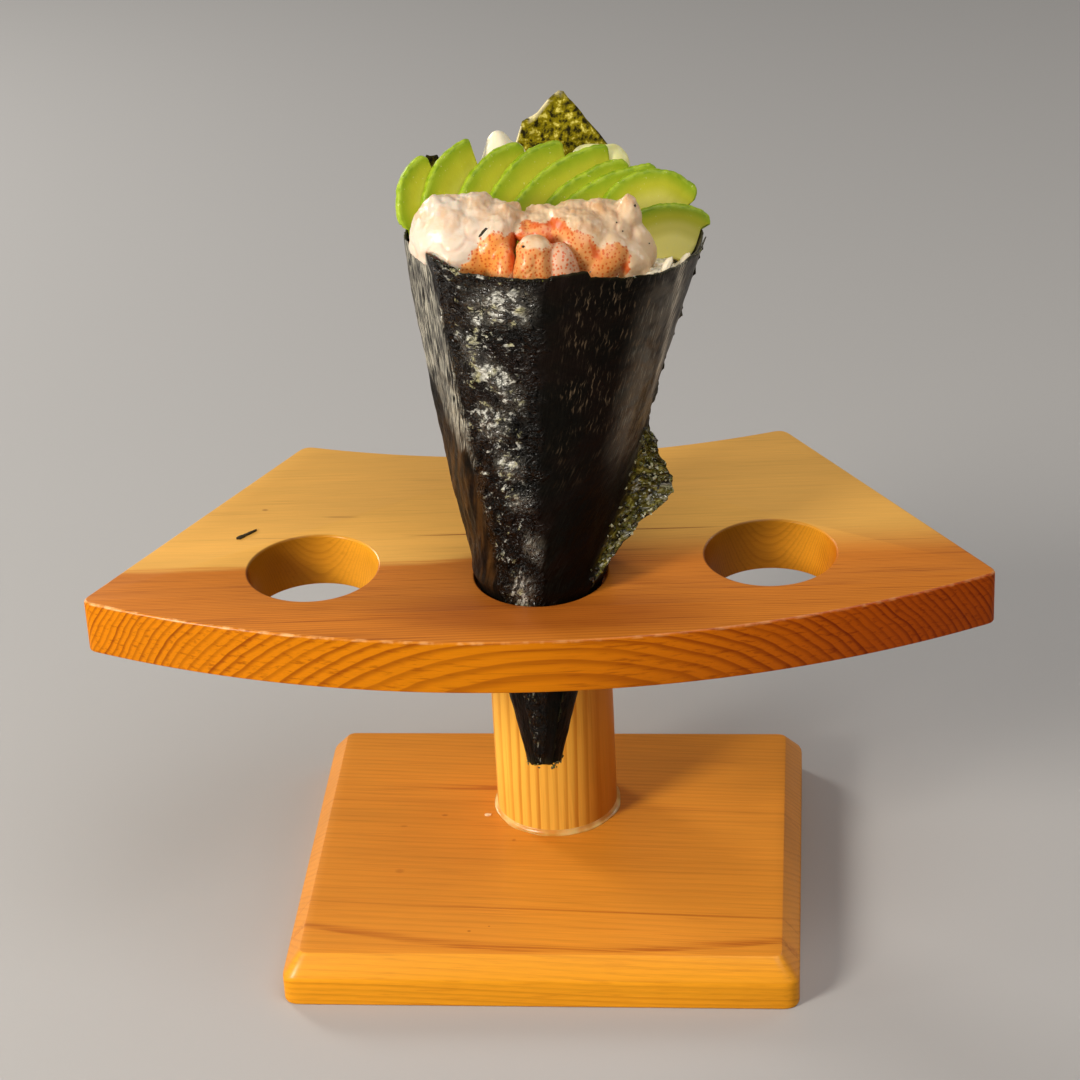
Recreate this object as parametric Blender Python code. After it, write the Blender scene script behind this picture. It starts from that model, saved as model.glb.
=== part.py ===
"""Temaki hand roll standing in a varnished pine holder with three holes.

Metres, +Z up. The origin is under the middle of the holder's base, on the surface it stands on, and the
holder's base runs along X and Y. The roll is modelled upright in a frame of its own, whose origin is the
middle hole on the plate's top, and an empty leans it to one side and back as it rests in the hole.
Angles round the roll are counted from +X towards +Y, so -90 degrees is the front.
"""

import math

import bmesh
import bpy
from mathutils import Vector, noise

MM = 0.001
GAP = 0.3 * MM  # kept between any two pieces that rest on each other

# Holder
BASE_WIDTH = 153.8 * MM
BASE_DEPTH = 130.3 * MM
BASE_HEIGHT = 15.7 * MM
BASE_CORNER = 4.0 * MM
BASE_CHAMFER_IN = 5.1 * MM
BASE_CHAMFER_DOWN = 6.7 * MM
POST_RADIUS = 18.9 * MM
POST_Y = 21.1 * MM
GLUE_BEAD = 1.5 * MM
PLATE_TOP = 125.9 * MM
PLATE_THICKNESS = 16.8 * MM
PLATE_TURN = math.radians(3.7)
PLATE_EDGE = 0.9 * MM
PLATE_CORNER = 4.0 * MM
CORNER_STEPS = 4
FRONT_ARC_RADIUS = 297.7 * MM
BACK_ARC_RADIUS = 236.8 * MM
FRONT_REACH = 38.9 * MM  # from the middle hole forward to the front edge
BACK_REACH = 71.7 * MM  # from the middle hole back to the middle of the back edge
FRONT_LEFT = -132.8 * MM  # the plate was sawn a little longer on one side
FRONT_RIGHT = 130.8 * MM
BACK_HALF_WIDTH = 74.4 * MM
HOLE_RADIUS = 19.0 * MM
HOLE_EASE = 0.8 * MM
MIDDLE_HOLE = Vector((3.1 * MM, -24.8 * MM, 0.0))
SIDE_HOLE = Vector((66.5 * MM, 7.2 * MM, 0.0))  # from the middle hole, along the turned plate

# Roll
ROLL_LEAN_BACK = math.radians(5.0)
ROLL_LEAN_SIDE = math.radians(1.6)
ROLL_TURN = math.radians(5.75)
ROLL_FORWARD = 0.3 * MM  # keeps the leaning cone clear of the hole's back
TIP_Z = -60.5 * MM
TIP_RADIUS = 5.1 * MM
NECK_RADIUS = 18.4 * MM  # at the plate's top, Z 0
MOUTH_Z = 102.0 * MM
MOUTH_RADIUS = 41.5 * MM
MOUTH_SHIFT = 5.8 * MM  # the cone curves to the right as it widens
NORI_WALL = 1.0 * MM
OUTSIDE = 15.0 * MM  # how far outside the sheet its edge trims the fillings
FLOOR_Z = -46.0 * MM  # inside, above the twisted tip
RICE_EDGE_Z = 95.0 * MM
CREASE_MIDDLE = math.radians(200.0)  # a flat facet where the sheet was folded
CREASE_HALF = math.radians(17.0)
ROUND_STEPS = 72
RICE_STEPS = 36

# The sheet's upper edge: degrees round the roll, and millimetres up. Its corner stands at the back.
RIM = (
    (0, 102.0), (12, 102.5), (39, 106.0), (57, 112.0), (67, 116.0), (79, 122.6), (90, 130.0),
    (100, 123.3), (107, 119.6), (123, 115.4), (141, 115.8), (160, 107.5), (182, 102.0),
    (205, 103.0), (215, 105.5), (231, 104.4), (264, 104.7), (281, 105.3), (303, 102.7),
    (319, 101.3), (345, 101.8), (360, 102.0),
)
# The sheet's free corner, which stands out on the right: height, degrees round, and reach, top to bottom.
FLAP = (
    (47.0, 350, 1.2), (43.0, 347, 4.3), (38.0, 344, 6.5), (35.5, 342, 10.0), (29.0, 338, 15.0),
    (23.5, 334, 14.0), (20.5, 332, 10.5), (17.0, 330, 9.0), (12.0, 325, 6.5), (8.0, 320, 4.0),
    (4.5, 317, 1.5),
)
FLAP_DIRECTION = math.radians(15.0)

# Avocado fan, left to right: centre X and Z of the rounded back, its radius, and the angle of the cut tip.
SLICES = (
    (-24.4, 108.7, 15.0, 102), (-11.1, 104.5, 22.1, 99), (0.9, 99.6, 25.3, 90),
    (12.5, 96.1, 29.2, 91), (25.8, 82.2, 41.8, 90), (28.5, 85.5, 34.7, 87),
    (34.3, 79.7, 39.5, 84), (33.5, 100.3, 17.5, 31), (36.4, 89.4, 21.0, 49),
)
SLICE_THICKNESS = 2.4 * MM
SLICE_EDGE = 0.6 * MM
SLICE_LENGTH = 46.0 * MM  # along the rounded back
SLICE_WIDTH = 15.0 * MM
SLICE_STEPS = 14
SLICE_LEAN = math.radians(18.0)
SLICE_TURN = math.radians(19.0)  # each slice's left edge is forward, the rest behind the next slice
FAN_Y = 8.0 * MM  # the slices' forward edges stand on a curve across the mouth
FAN_DROP = 4.0 * MM
FAN_HALF = 40.0 * MM
FAN_LEVEL = 112.0 * MM

# Fillings, as overlapping lumps: centre and half size in millimetres.
SHRIMP_LEFT = (
    ((-23, -12, 106), (11.5, 13, 12.5)), ((-26, -20, 101), (8.5, 10, 10)), ((-14, -13, 108), (9, 12, 11.5)),
    ((-12, -24, 101), (9.5, 9, 12)), ((-6.5, -15, 107), (4, 10, 10)),
)
SHRIMP_RIGHT = (
    ((21, -10, 107), (10, 13, 11)), ((26, -16, 102), (6.5, 9, 9)), ((12, -13, 108), (8.5, 11, 9.5)),
    ((14, -25, 100), (10, 8, 10)), ((3.5, -13, 107), (7, 10, 9.5)),
)
SHRIMP_CENTRE = (((-1.5, -30, 100), (5, 5.5, 9.5)), ((5.5, -30, 99), (5, 5, 8.5)))
CREAM_LEFT = (((-7, 23, 113.5), (7.2, 6.5, 12.5)), ((-10, 21, 108), (6, 6, 8)))
CREAM_RIGHT = (((18.5, 24, 109), (7.5, 6.5, 12)), ((25, 23, 107.5), (6.5, 6, 11)))
LUMP_VOXEL = 1.5 * MM


def material(name, colour, roughness):
    finish = bpy.data.materials.new(name)
    finish.use_nodes = True
    shader = finish.node_tree.nodes["Principled BSDF"]
    shader.inputs["Base Color"].default_value = (*colour, 1.0)
    shader.inputs["Roughness"].default_value = roughness
    shader.inputs["Metallic"].default_value = 0.0
    return finish


def place(name, shape, finish=None, parent=None):
    """A named object from a bmesh whose faces are turned outwards."""
    bmesh.ops.recalc_face_normals(shape, faces=shape.faces[:])
    mesh = bpy.data.meshes.new(name)
    shape.to_mesh(mesh)
    shape.free()
    piece = bpy.data.objects.new(name, mesh)
    bpy.context.scene.collection.objects.link(piece)
    piece.parent = parent
    if finish:
        mesh.materials.append(finish)
        mesh.shade_smooth()
        mesh.set_sharp_from_angle(angle=math.radians(35))
    return piece


def as_cutter(piece):
    piece.hide_render = True
    piece.display_type = "WIRE"
    return piece


def boolean(piece, other, operation="DIFFERENCE"):
    step = piece.modifiers.new(other.name, "BOOLEAN")
    step.operation = operation
    step.object = other


def loft(loops):
    """One closed body through loops of equal length, with a flat cap at each end."""
    shape = bmesh.new()
    rings = [[shape.verts.new(point) for point in loop] for loop in loops]
    for lower, upper in zip(rings, rings[1:]):
        for i, corner in enumerate(lower):
            after = (i + 1) % len(lower)
            shape.faces.new((corner, lower[after], upper[after], upper[i]))
    shape.faces.new(rings[0][::-1])
    shape.faces.new(rings[-1])
    return shape


def ring(radius, z, steps=48):
    turns = (math.tau * i / steps for i in range(steps))
    return [Vector((radius * math.cos(t), radius * math.sin(t), z)) for t in turns]


def rounded(corners, radius):
    """A flat outline whose named corners are replaced by short arcs; the other points stay."""
    outline = []
    for i, (point, is_corner) in enumerate(corners):
        if not is_corner:
            outline.append(point)
            continue
        before = (corners[i - 1][0] - point).normalized()
        after = (corners[(i + 1) % len(corners)][0] - point).normalized()
        for k in range(CORNER_STEPS + 1):
            t = k / CORNER_STEPS
            outline.append(point + radius * (before * (1 - t) ** 2 + after * t**2))
    return outline


def inset(outline, distance):
    """The same outline moved inwards, for an eased edge. It runs anticlockwise."""
    moved = []
    for i, point in enumerate(outline):
        along = outline[(i + 1) % len(outline)] - outline[i - 1]
        moved.append(point + Vector((-along.y, along.x, 0)).normalized() * distance)
    return moved


def at_height(outline, z):
    return [Vector((point.x, point.y, z)) for point in outline]


def make_base(finish):
    half_x, half_y = BASE_WIDTH / 2, BASE_DEPTH / 2
    signs = ((-1, -1), (1, -1), (1, 1), (-1, 1))
    outline = rounded([(Vector((x * half_x, y * half_y, 0)), True) for x, y in signs], BASE_CORNER)
    shape = loft([
        at_height(inset(outline, PLATE_EDGE), 0),
        at_height(outline, PLATE_EDGE),
        at_height(outline, BASE_HEIGHT - BASE_CHAMFER_DOWN),
        at_height(inset(outline, BASE_CHAMFER_IN), BASE_HEIGHT),
    ])
    return place("stand_base", shape, finish)


def make_post(finish):
    foot = BASE_HEIGHT + GAP
    head = PLATE_TOP - PLATE_THICKNESS - GAP
    shape = loft([
        ring(POST_RADIUS + GLUE_BEAD, foot),
        ring(POST_RADIUS + GLUE_BEAD * 0.6, foot + GLUE_BEAD * 0.5),
        ring(POST_RADIUS, foot + GLUE_BEAD * 0.9),
        ring(POST_RADIUS, head),
    ])
    post = place("stand_post", shape, finish)
    post.location = (0, POST_Y, 0)
    return post


def arc(radius, apex, start_x, end_x, steps):
    """Points across the plate on a circle whose nearest point to the front is at apex."""
    points = []
    for i in range(steps + 1):
        x = start_x + (end_x - start_x) * i / steps
        y = apex + radius - math.sqrt(radius**2 - x**2)
        points.append(Vector((x, y, 0)))
    return points


def make_plate(finish):
    front = arc(FRONT_ARC_RADIUS, -FRONT_REACH, FRONT_LEFT, FRONT_RIGHT, 28)
    back = arc(BACK_ARC_RADIUS, BACK_REACH, BACK_HALF_WIDTH, -BACK_HALF_WIDTH, 14)
    corners = [(p, p in (front[0], front[-1])) for p in front] + [(p, p in (back[0], back[-1])) for p in back]
    outline = rounded(corners, PLATE_CORNER)
    bottom = -PLATE_THICKNESS
    shape = loft([
        at_height(inset(outline, PLATE_EDGE), bottom),
        at_height(outline, bottom + PLATE_EDGE),
        at_height(outline, -PLATE_EDGE),
        at_height(inset(outline, PLATE_EDGE), 0),
    ])
    plate = place("stand_plate", shape, finish)
    plate.location = MIDDLE_HOLE + Vector((0, 0, PLATE_TOP))
    plate.rotation_euler = (0, 0, PLATE_TURN)
    clear = 1 * MM
    for label, side in (("left", -1), ("middle", 0), ("right", 1)):
        drill = loft([
            ring(HOLE_RADIUS + HOLE_EASE + clear, bottom - clear),
            ring(HOLE_RADIUS, bottom + HOLE_EASE),
            ring(HOLE_RADIUS, -HOLE_EASE),
            ring(HOLE_RADIUS + HOLE_EASE + clear, clear),
        ])
        cutter = as_cutter(place(f"drill_{label}", drill, parent=plate))
        cutter.location = (side * SIDE_HOLE.x, abs(side) * SIDE_HOLE.y, 0)
        boolean(plate, cutter)
    return plate


def cone_radius(z):
    if z < 0:
        return NECK_RADIUS + (TIP_RADIUS - NECK_RADIUS) * z / TIP_Z
    return NECK_RADIUS + (MOUTH_RADIUS - NECK_RADIUS) * z / MOUTH_Z


def facet(turn):
    """How far the folded sheet cuts inside the round cone, as a factor on the radius."""
    away = (turn - CREASE_MIDDLE + math.pi) % math.tau - math.pi
    if abs(away) >= CREASE_HALF:
        return 1.0
    return math.cos(CREASE_HALF) / math.cos(away)


def on_roll(turn, z, depth=0.0):
    """A point on the cone's outside, or that far inside it."""
    radius = cone_radius(z) * facet(turn) - depth
    shift = MOUTH_SHIFT * max(z, 0) ** 2 / MOUTH_Z**2
    return Vector((shift + radius * math.cos(turn), radius * math.sin(turn), z))


def rim_height(turn):
    degrees = math.degrees(turn) % 360
    for (before, low), (after, high) in zip(RIM, RIM[1:]):
        if before <= degrees <= after:
            return (low + (high - low) * (degrees - before) / (after - before)) * MM
    return RIM[0][1] * MM


def nori_shell(room=0.0, outside_room=0.0):
    """The rolled sheet as a cup. With room it is a larger copy that trims what lies against the sheet."""
    turns = [math.tau * i / ROUND_STEPS for i in range(ROUND_STEPS)]
    outside = (TIP_Z, -42 * MM, -20 * MM, 0, 30 * MM, 62 * MM, 90 * MM)
    inside = (90 * MM, 62 * MM, 30 * MM, 0, -20 * MM, FLOOR_Z)
    rims = [rim_height(turn) + room for turn in turns]
    loops = [[on_roll(t, z, -outside_room) for t in turns] for z in outside]
    loops.append([on_roll(t, top, -outside_room) for t, top in zip(turns, rims)])
    loops.append([on_roll(t, top, NORI_WALL + room) for t, top in zip(turns, rims)])
    loops += [[on_roll(t, z, NORI_WALL + room) for t in turns] for z in inside]
    return loft(loops)


def flap_shape():
    """The free corner of the sheet: a plate that leaves the cone and runs out to its own ragged edge."""
    outward = Vector((math.cos(FLAP_DIRECTION), math.sin(FLAP_DIRECTION), 0))
    across = Vector((-outward.y, outward.x, 0)) * NORI_WALL / 2
    loops = []
    for z, degrees, reach in FLAP:
        root = on_roll(math.radians(degrees), z * MM, NORI_WALL * 0.4)
        edge = root + outward * (reach * MM)
        bend = (root + edge) / 2 + across * 2
        front = [root - across, bend - across, edge - across]
        loops.append(front + [edge + across, bend + across, root + across])
    return loft(loops)


def make_nori(finish, roll):
    nori = place("nori", nori_shell(), finish, roll)
    flap = as_cutter(place("flap_join", flap_shape(), parent=roll))
    boolean(nori, flap, "UNION")
    return nori


def rice_top(x, y):
    """The heap is low under the shrimp, higher behind, and comes up to the rim at the front right."""
    behind = 1 / (1 + math.exp(-(y - 12 * MM) / (7 * MM)))
    across = 1 - 0.45 * min(abs(x) / (40 * MM), 1) ** 2
    mound = math.exp(-((x - 31 * MM) ** 2 + (y + 20 * MM) ** 2) / (2 * (7 * MM) ** 2))
    lumps = noise.noise(Vector((x, y, 0)) / (9 * MM))
    return (93 + 13 * behind * across + 8 * mound + 1.2 * lumps) * MM


def rice_shape(grow):
    """The rice that fills the cone, or a slightly larger copy of it that clears room for what lies on it."""
    depth = NORI_WALL + GAP - grow
    turns = [math.tau * i / RICE_STEPS for i in range(RICE_STEPS)]
    levels = (FLOOR_Z + GAP - grow, -20 * MM, 0, 30 * MM, 60 * MM)
    loops = [[on_roll(t, z, depth) for t in turns] for z in levels]
    middle = Vector((MOUTH_SHIFT * 0.85, 0, 0))
    for share in (1.0, 0.75, 0.5, 0.25, 0.05):
        loop = []
        for turn in turns:
            edge = on_roll(turn, RICE_EDGE_Z, NORI_WALL + GAP)
            point = middle + (edge - middle) * share
            height = rice_top(point.x, point.y)
            if share == 1.0:
                point = on_roll(turn, height, depth)
            loop.append(Vector((point.x, point.y, height + 2 * grow)))
        loops.append(loop)
    shape = loft(loops)
    bmesh.ops.triangulate(shape, faces=shape.faces[:], quad_method="FIXED")
    return shape


def slice_shape(centre_x, centre_z, radius, tip, grow=0.0):
    """A crescent of avocado: a rounded back, a cut tip and a hollow belly, as a plate with eased edges."""
    width = min(SLICE_WIDTH, radius * 0.85)
    sweep = SLICE_LENGTH / radius
    outline = []
    for side, reach in (("back", radius + grow), ("belly", radius - width - grow)):
        for i in range(SLICE_STEPS + 1):
            t = i / SLICE_STEPS if side == "back" else 1 - i / SLICE_STEPS
            turn = math.radians(tip) + sweep * t
            outline.append(Vector((reach * math.cos(turn), reach * math.sin(turn), 0)))
    half = SLICE_THICKNESS / 2 + grow
    shape = loft([
        at_height(inset(outline, SLICE_EDGE), -half),
        at_height(outline, SLICE_EDGE - half),
        at_height(outline, half - SLICE_EDGE),
        at_height(inset(outline, SLICE_EDGE), half),
    ])
    rise = FAN_LEVEL - centre_z
    lead_x = centre_x - math.sqrt(max(radius**2 - rise**2, 0))
    turn = SLICE_TURN - math.atan(2 * FAN_DROP * lead_x / FAN_HALF**2)
    along = Vector((math.cos(turn), math.sin(turn), 0))
    up = Vector((-math.sin(SLICE_LEAN) * along.y, math.sin(SLICE_LEAN) * along.x, math.cos(SLICE_LEAN)))
    lead = Vector((lead_x, FAN_Y - FAN_DROP * (lead_x / FAN_HALF) ** 2, FAN_LEVEL))
    down = up * (-rise / up.z)
    centre = lead + down + along * (centre_x - lead_x - down.x) / along.x
    facing = along.cross(up)
    for vert in shape.verts:
        flat = vert.co.copy()
        vert.co = centre + along * flat.x + up * flat.y + facing * flat.z
    return shape


def lumps_mesh(lumps, grow=0.0):
    shape = bmesh.new()
    for centre, half in lumps:
        made = bmesh.ops.create_icosphere(shape, subdivisions=3, radius=1.0)
        size = [h * MM + grow for h in half]
        for vert in made["verts"]:
            vert.co = Vector([c * s for c, s in zip(vert.co, size)]) + Vector(centre) * MM
    return shape


def make_lumps(name, lumps, finish, roll, share, grow=0.0):
    """Soft overlapping lumps melted into one skin."""
    piece = place(name, lumps_mesh(lumps, grow), finish, roll)
    melt = piece.modifiers.new("melt", "REMESH")
    melt.mode = "VOXEL"
    melt.voxel_size = LUMP_VOXEL
    melt.use_smooth_shade = True
    soften = piece.modifiers.new("soften", "SMOOTH")
    soften.factor = 0.5
    soften.iterations = 4
    thin = piece.modifiers.new("thin", "DECIMATE")
    thin.ratio = share
    return piece


def main():
    for old in list(bpy.data.objects):
        bpy.data.objects.remove(old, do_unlink=True)

    pine = material("varnished_pine", (0.62, 0.30, 0.09), 0.35)
    seaweed = material("seaweed", (0.012, 0.013, 0.010), 0.35)
    white_rice = material("white_rice", (0.80, 0.76, 0.66), 0.45)
    green = material("avocado_flesh", (0.36, 0.48, 0.07), 0.45)
    shrimp = material("shrimp", (0.80, 0.45, 0.28), 0.35)
    cream = material("cream_cheese", (0.88, 0.84, 0.72), 0.50)

    make_base(pine)
    make_post(pine)
    make_plate(pine)

    roll = bpy.data.objects.new("roll_axis", None)
    bpy.context.scene.collection.objects.link(roll)
    roll.location = MIDDLE_HOLE + Vector((0, -ROLL_FORWARD, PLATE_TOP))
    roll.rotation_euler = (-ROLL_LEAN_BACK, ROLL_LEAN_SIDE, ROLL_TURN)

    make_nori(seaweed, roll)
    place("rice", rice_shape(0), white_rice, roll)
    nori_room = as_cutter(place("nori_room", nori_shell(GAP, OUTSIDE), parent=roll))
    rice_room = as_cutter(place("rice_room", rice_shape(GAP), parent=roll))

    slices = []
    rooms = []
    for number, row in enumerate(SLICES, 1):
        sizes = [value * MM for value in row[:3]] + [row[3]]
        piece = place(f"avocado_slice_{number}", slice_shape(*sizes), green, roll)
        room = as_cutter(place(f"slice_room_{number}", slice_shape(*sizes, GAP), parent=roll))
        boolean(piece, nori_room)
        boolean(piece, rice_room)
        slices.append(piece)
        rooms.append(room)
    for piece, room in zip(slices, rooms[1:]):
        boolean(piece, room)

    fillings = (
        ("shrimp_left", SHRIMP_LEFT, shrimp, 0.10), ("shrimp_right", SHRIMP_RIGHT, shrimp, 0.10),
        ("shrimp_centre", SHRIMP_CENTRE, shrimp, 0.20), ("cream_cheese_left", CREAM_LEFT, cream, 0.14),
        ("cream_cheese_right", CREAM_RIGHT, cream, 0.14),
    )
    centre_room = as_cutter(make_lumps("centre_room", SHRIMP_CENTRE, shrimp, roll, 0.3, 2 * GAP))
    right_room = as_cutter(make_lumps("right_room", SHRIMP_RIGHT, shrimp, roll, 0.3, 2 * GAP))
    for name, lumps, finish, share in fillings:
        piece = make_lumps(name, lumps, finish, roll, share)
        boolean(piece, nori_room)
        boolean(piece, rice_room)
        for room in rooms:
            boolean(piece, room)
        if name in ("shrimp_left", "shrimp_right"):
            boolean(piece, centre_room)
        if name == "shrimp_left":
            boolean(piece, right_room)


main()
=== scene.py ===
# %% [markdown]
# A temaki is a cone of toasted seaweed filled with rice, shrimp, avocado and cream cheese. It can't stand
# on its tip, so it comes in a varnished pine holder with three holes. Everything below is built round
# them: each visible piece gets finer geometry and a finish made of nodes, and takes the place of its
# plain solid.

# %% Load the frame
import math
import random

import bmesh
import bpy
from mathutils import Euler, Matrix, Vector, bvhtree, noise


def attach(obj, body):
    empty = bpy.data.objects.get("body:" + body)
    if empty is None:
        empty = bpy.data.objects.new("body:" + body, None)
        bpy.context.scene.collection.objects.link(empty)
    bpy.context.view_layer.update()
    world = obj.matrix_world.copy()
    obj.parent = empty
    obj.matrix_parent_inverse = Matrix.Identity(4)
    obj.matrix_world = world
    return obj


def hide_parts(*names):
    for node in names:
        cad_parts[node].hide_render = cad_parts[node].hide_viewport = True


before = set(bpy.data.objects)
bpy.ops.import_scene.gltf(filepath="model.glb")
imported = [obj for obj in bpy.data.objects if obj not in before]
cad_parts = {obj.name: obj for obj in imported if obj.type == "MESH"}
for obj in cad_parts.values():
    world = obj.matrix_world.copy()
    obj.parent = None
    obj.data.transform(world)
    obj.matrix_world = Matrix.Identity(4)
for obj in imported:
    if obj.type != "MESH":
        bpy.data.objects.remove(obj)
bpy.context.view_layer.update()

MM = 0.001

# %% [markdown]
# The camera comes first, because it decides how much detail each piece needs. It is a long lens about a
# metre away, so the view is nearly free of perspective: it looks down at about 29 degrees, turned a
# little to the left side of the holder, and it is tipped by three degrees as a hand-held camera often is.
# I build its matrix from three directions, right, up and back, because that is all that a camera's
# rotation is.

# %% Camera
TARGET = Vector((0.8 * MM, 0, 122.4 * MM))
CAMERA_TURN = math.radians(5.75)
CAMERA_HEIGHT = math.radians(29.42)
CAMERA_TIP = math.radians(-2.98)
CAMERA_DISTANCE = 966.2 * MM
CAMERA_LENS, CAMERA_SENSOR = 109.0, 36.0  # both in mm


def add_camera():
    turn = Matrix.Rotation(CAMERA_TURN, 4, "Z")
    back = Vector((0, -math.cos(CAMERA_HEIGHT), math.sin(CAMERA_HEIGHT)))
    right = Vector((1, 0, 0))
    up = back.cross(right)
    tipped_right = right * math.cos(CAMERA_TIP) + up * math.sin(CAMERA_TIP)
    tipped_up = up * math.cos(CAMERA_TIP) - right * math.sin(CAMERA_TIP)
    matrix = Matrix((tipped_right, tipped_up, back)).transposed().to_4x4()
    matrix.translation = TARGET + back * CAMERA_DISTANCE
    data = bpy.data.cameras.new("camera")
    data.lens = CAMERA_LENS
    data.sensor_width = CAMERA_SENSOR
    camera = bpy.data.objects.new("camera", data)
    camera.matrix_world = turn @ matrix
    bpy.context.scene.collection.objects.link(camera)
    bpy.context.scene.camera = camera
    return camera


camera = add_camera()
print("camera at", [round(v, 3) for v in camera.matrix_world.translation])

# %% [markdown]
# Studio light: a warm key stands to the left and low, so that it rakes across the seaweed and leaves the
# right side of the round post in shade. A wide fill above the camera keeps the food readable, and a rim
# light behind on each side gives the dark cone its edges. Area lights are used because their size sets
# how soft a shadow is. The lowest one has a narrow spread, as if it had a grid in front, so that it
# doesn't burn a patch on the floor. The view transform is set to Standard, so that a colour set on a
# material is the colour seen in a well-lit place.

# %% Light and floor
def aim(thing, place, target):
    """Puts a thing at a place with its -Z side towards the target."""
    thing.matrix_world = (place - target).to_track_quat("Z", "Y").to_matrix().to_4x4()
    thing.matrix_world.translation = place


def add_light(name, turn, height, distance, width, watts, colour, spread=180):
    """An area light on a sphere round the food. Turn 0 is where the camera looks from; negative is left."""
    angle = math.radians(turn) + CAMERA_TURN
    rise = math.radians(height)
    direction = Vector((math.sin(angle) * math.cos(rise), -math.cos(angle) * math.cos(rise), math.sin(rise)))
    data = bpy.data.lights.new(name, "AREA")
    data.shape = "DISK"
    data.size = width
    data.energy = watts
    data.spread = math.radians(spread)
    data.color = colour
    light = bpy.data.objects.new(name, data)
    bpy.context.scene.collection.objects.link(light)
    aim(light, TARGET + direction * distance, TARGET)
    return light


add_light("key", turn=-52, height=25, distance=1.1, width=0.3, watts=11, colour=(1.0, 0.94, 0.85))
add_light("skim", turn=-76, height=2, distance=0.95, width=0.2, watts=0.18, colour=(1.0, 0.96, 0.88),
          spread=60)
add_light("fill", turn=36, height=63, distance=1.3, width=1.0, watts=7.5, colour=(1.0, 0.97, 0.94))
add_light("rim_left", turn=-138, height=22, distance=1.1, width=0.3, watts=5.0, colour=(1.0, 0.97, 0.92))
add_light("rim_right", turn=122, height=28, distance=1.2, width=0.4, watts=1.7, colour=(1.0, 0.95, 0.88))

world = bpy.data.worlds.new("room")
world.use_nodes = True
world.node_tree.nodes["Background"].inputs["Color"].default_value = (0.93, 0.95, 1.0, 1)
world.node_tree.nodes["Background"].inputs["Strength"].default_value = 0.11
bpy.context.scene.world = world
bpy.context.scene.view_settings.view_transform = "Standard"


def add_floor():
    bpy.ops.mesh.primitive_plane_add(size=8)
    floor = bpy.context.object
    floor.name = "floor"
    paper = bpy.data.materials.new("pale_paper")
    paper.use_nodes = True
    shader = paper.node_tree.nodes["Principled BSDF"]
    shader.inputs["Base Color"].default_value = (0.44, 0.43, 0.42, 1)
    shader.inputs["Roughness"].default_value = 0.85
    floor.data.materials.append(paper)


add_floor()

# %% [markdown]
# Every finish is a small graph of nodes. Writing each node by hand takes four lines, so a short helper
# adds one node, sets its values and links its inputs in one call. A link is made when the value is
# another node's output. Colours are written as the numbers that a colour picker shows, 0 to 255, and
# turned to the linear light that Blender calculates with.

# %% Helpers for finishes
def picked(red, green, blue):
    """A picked 0 to 255 colour as linear RGBA."""
    channels = [value / 255 for value in (red, green, blue)]
    return [c / 12.92 if c <= 0.04045 else ((c + 0.055) / 1.055) ** 2.4 for c in channels] + [1.0]


def fill(socket, value):
    if isinstance(value, bpy.types.NodeSocket):
        socket.id_data.links.new(value, socket)
    else:
        socket.default_value = value


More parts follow.
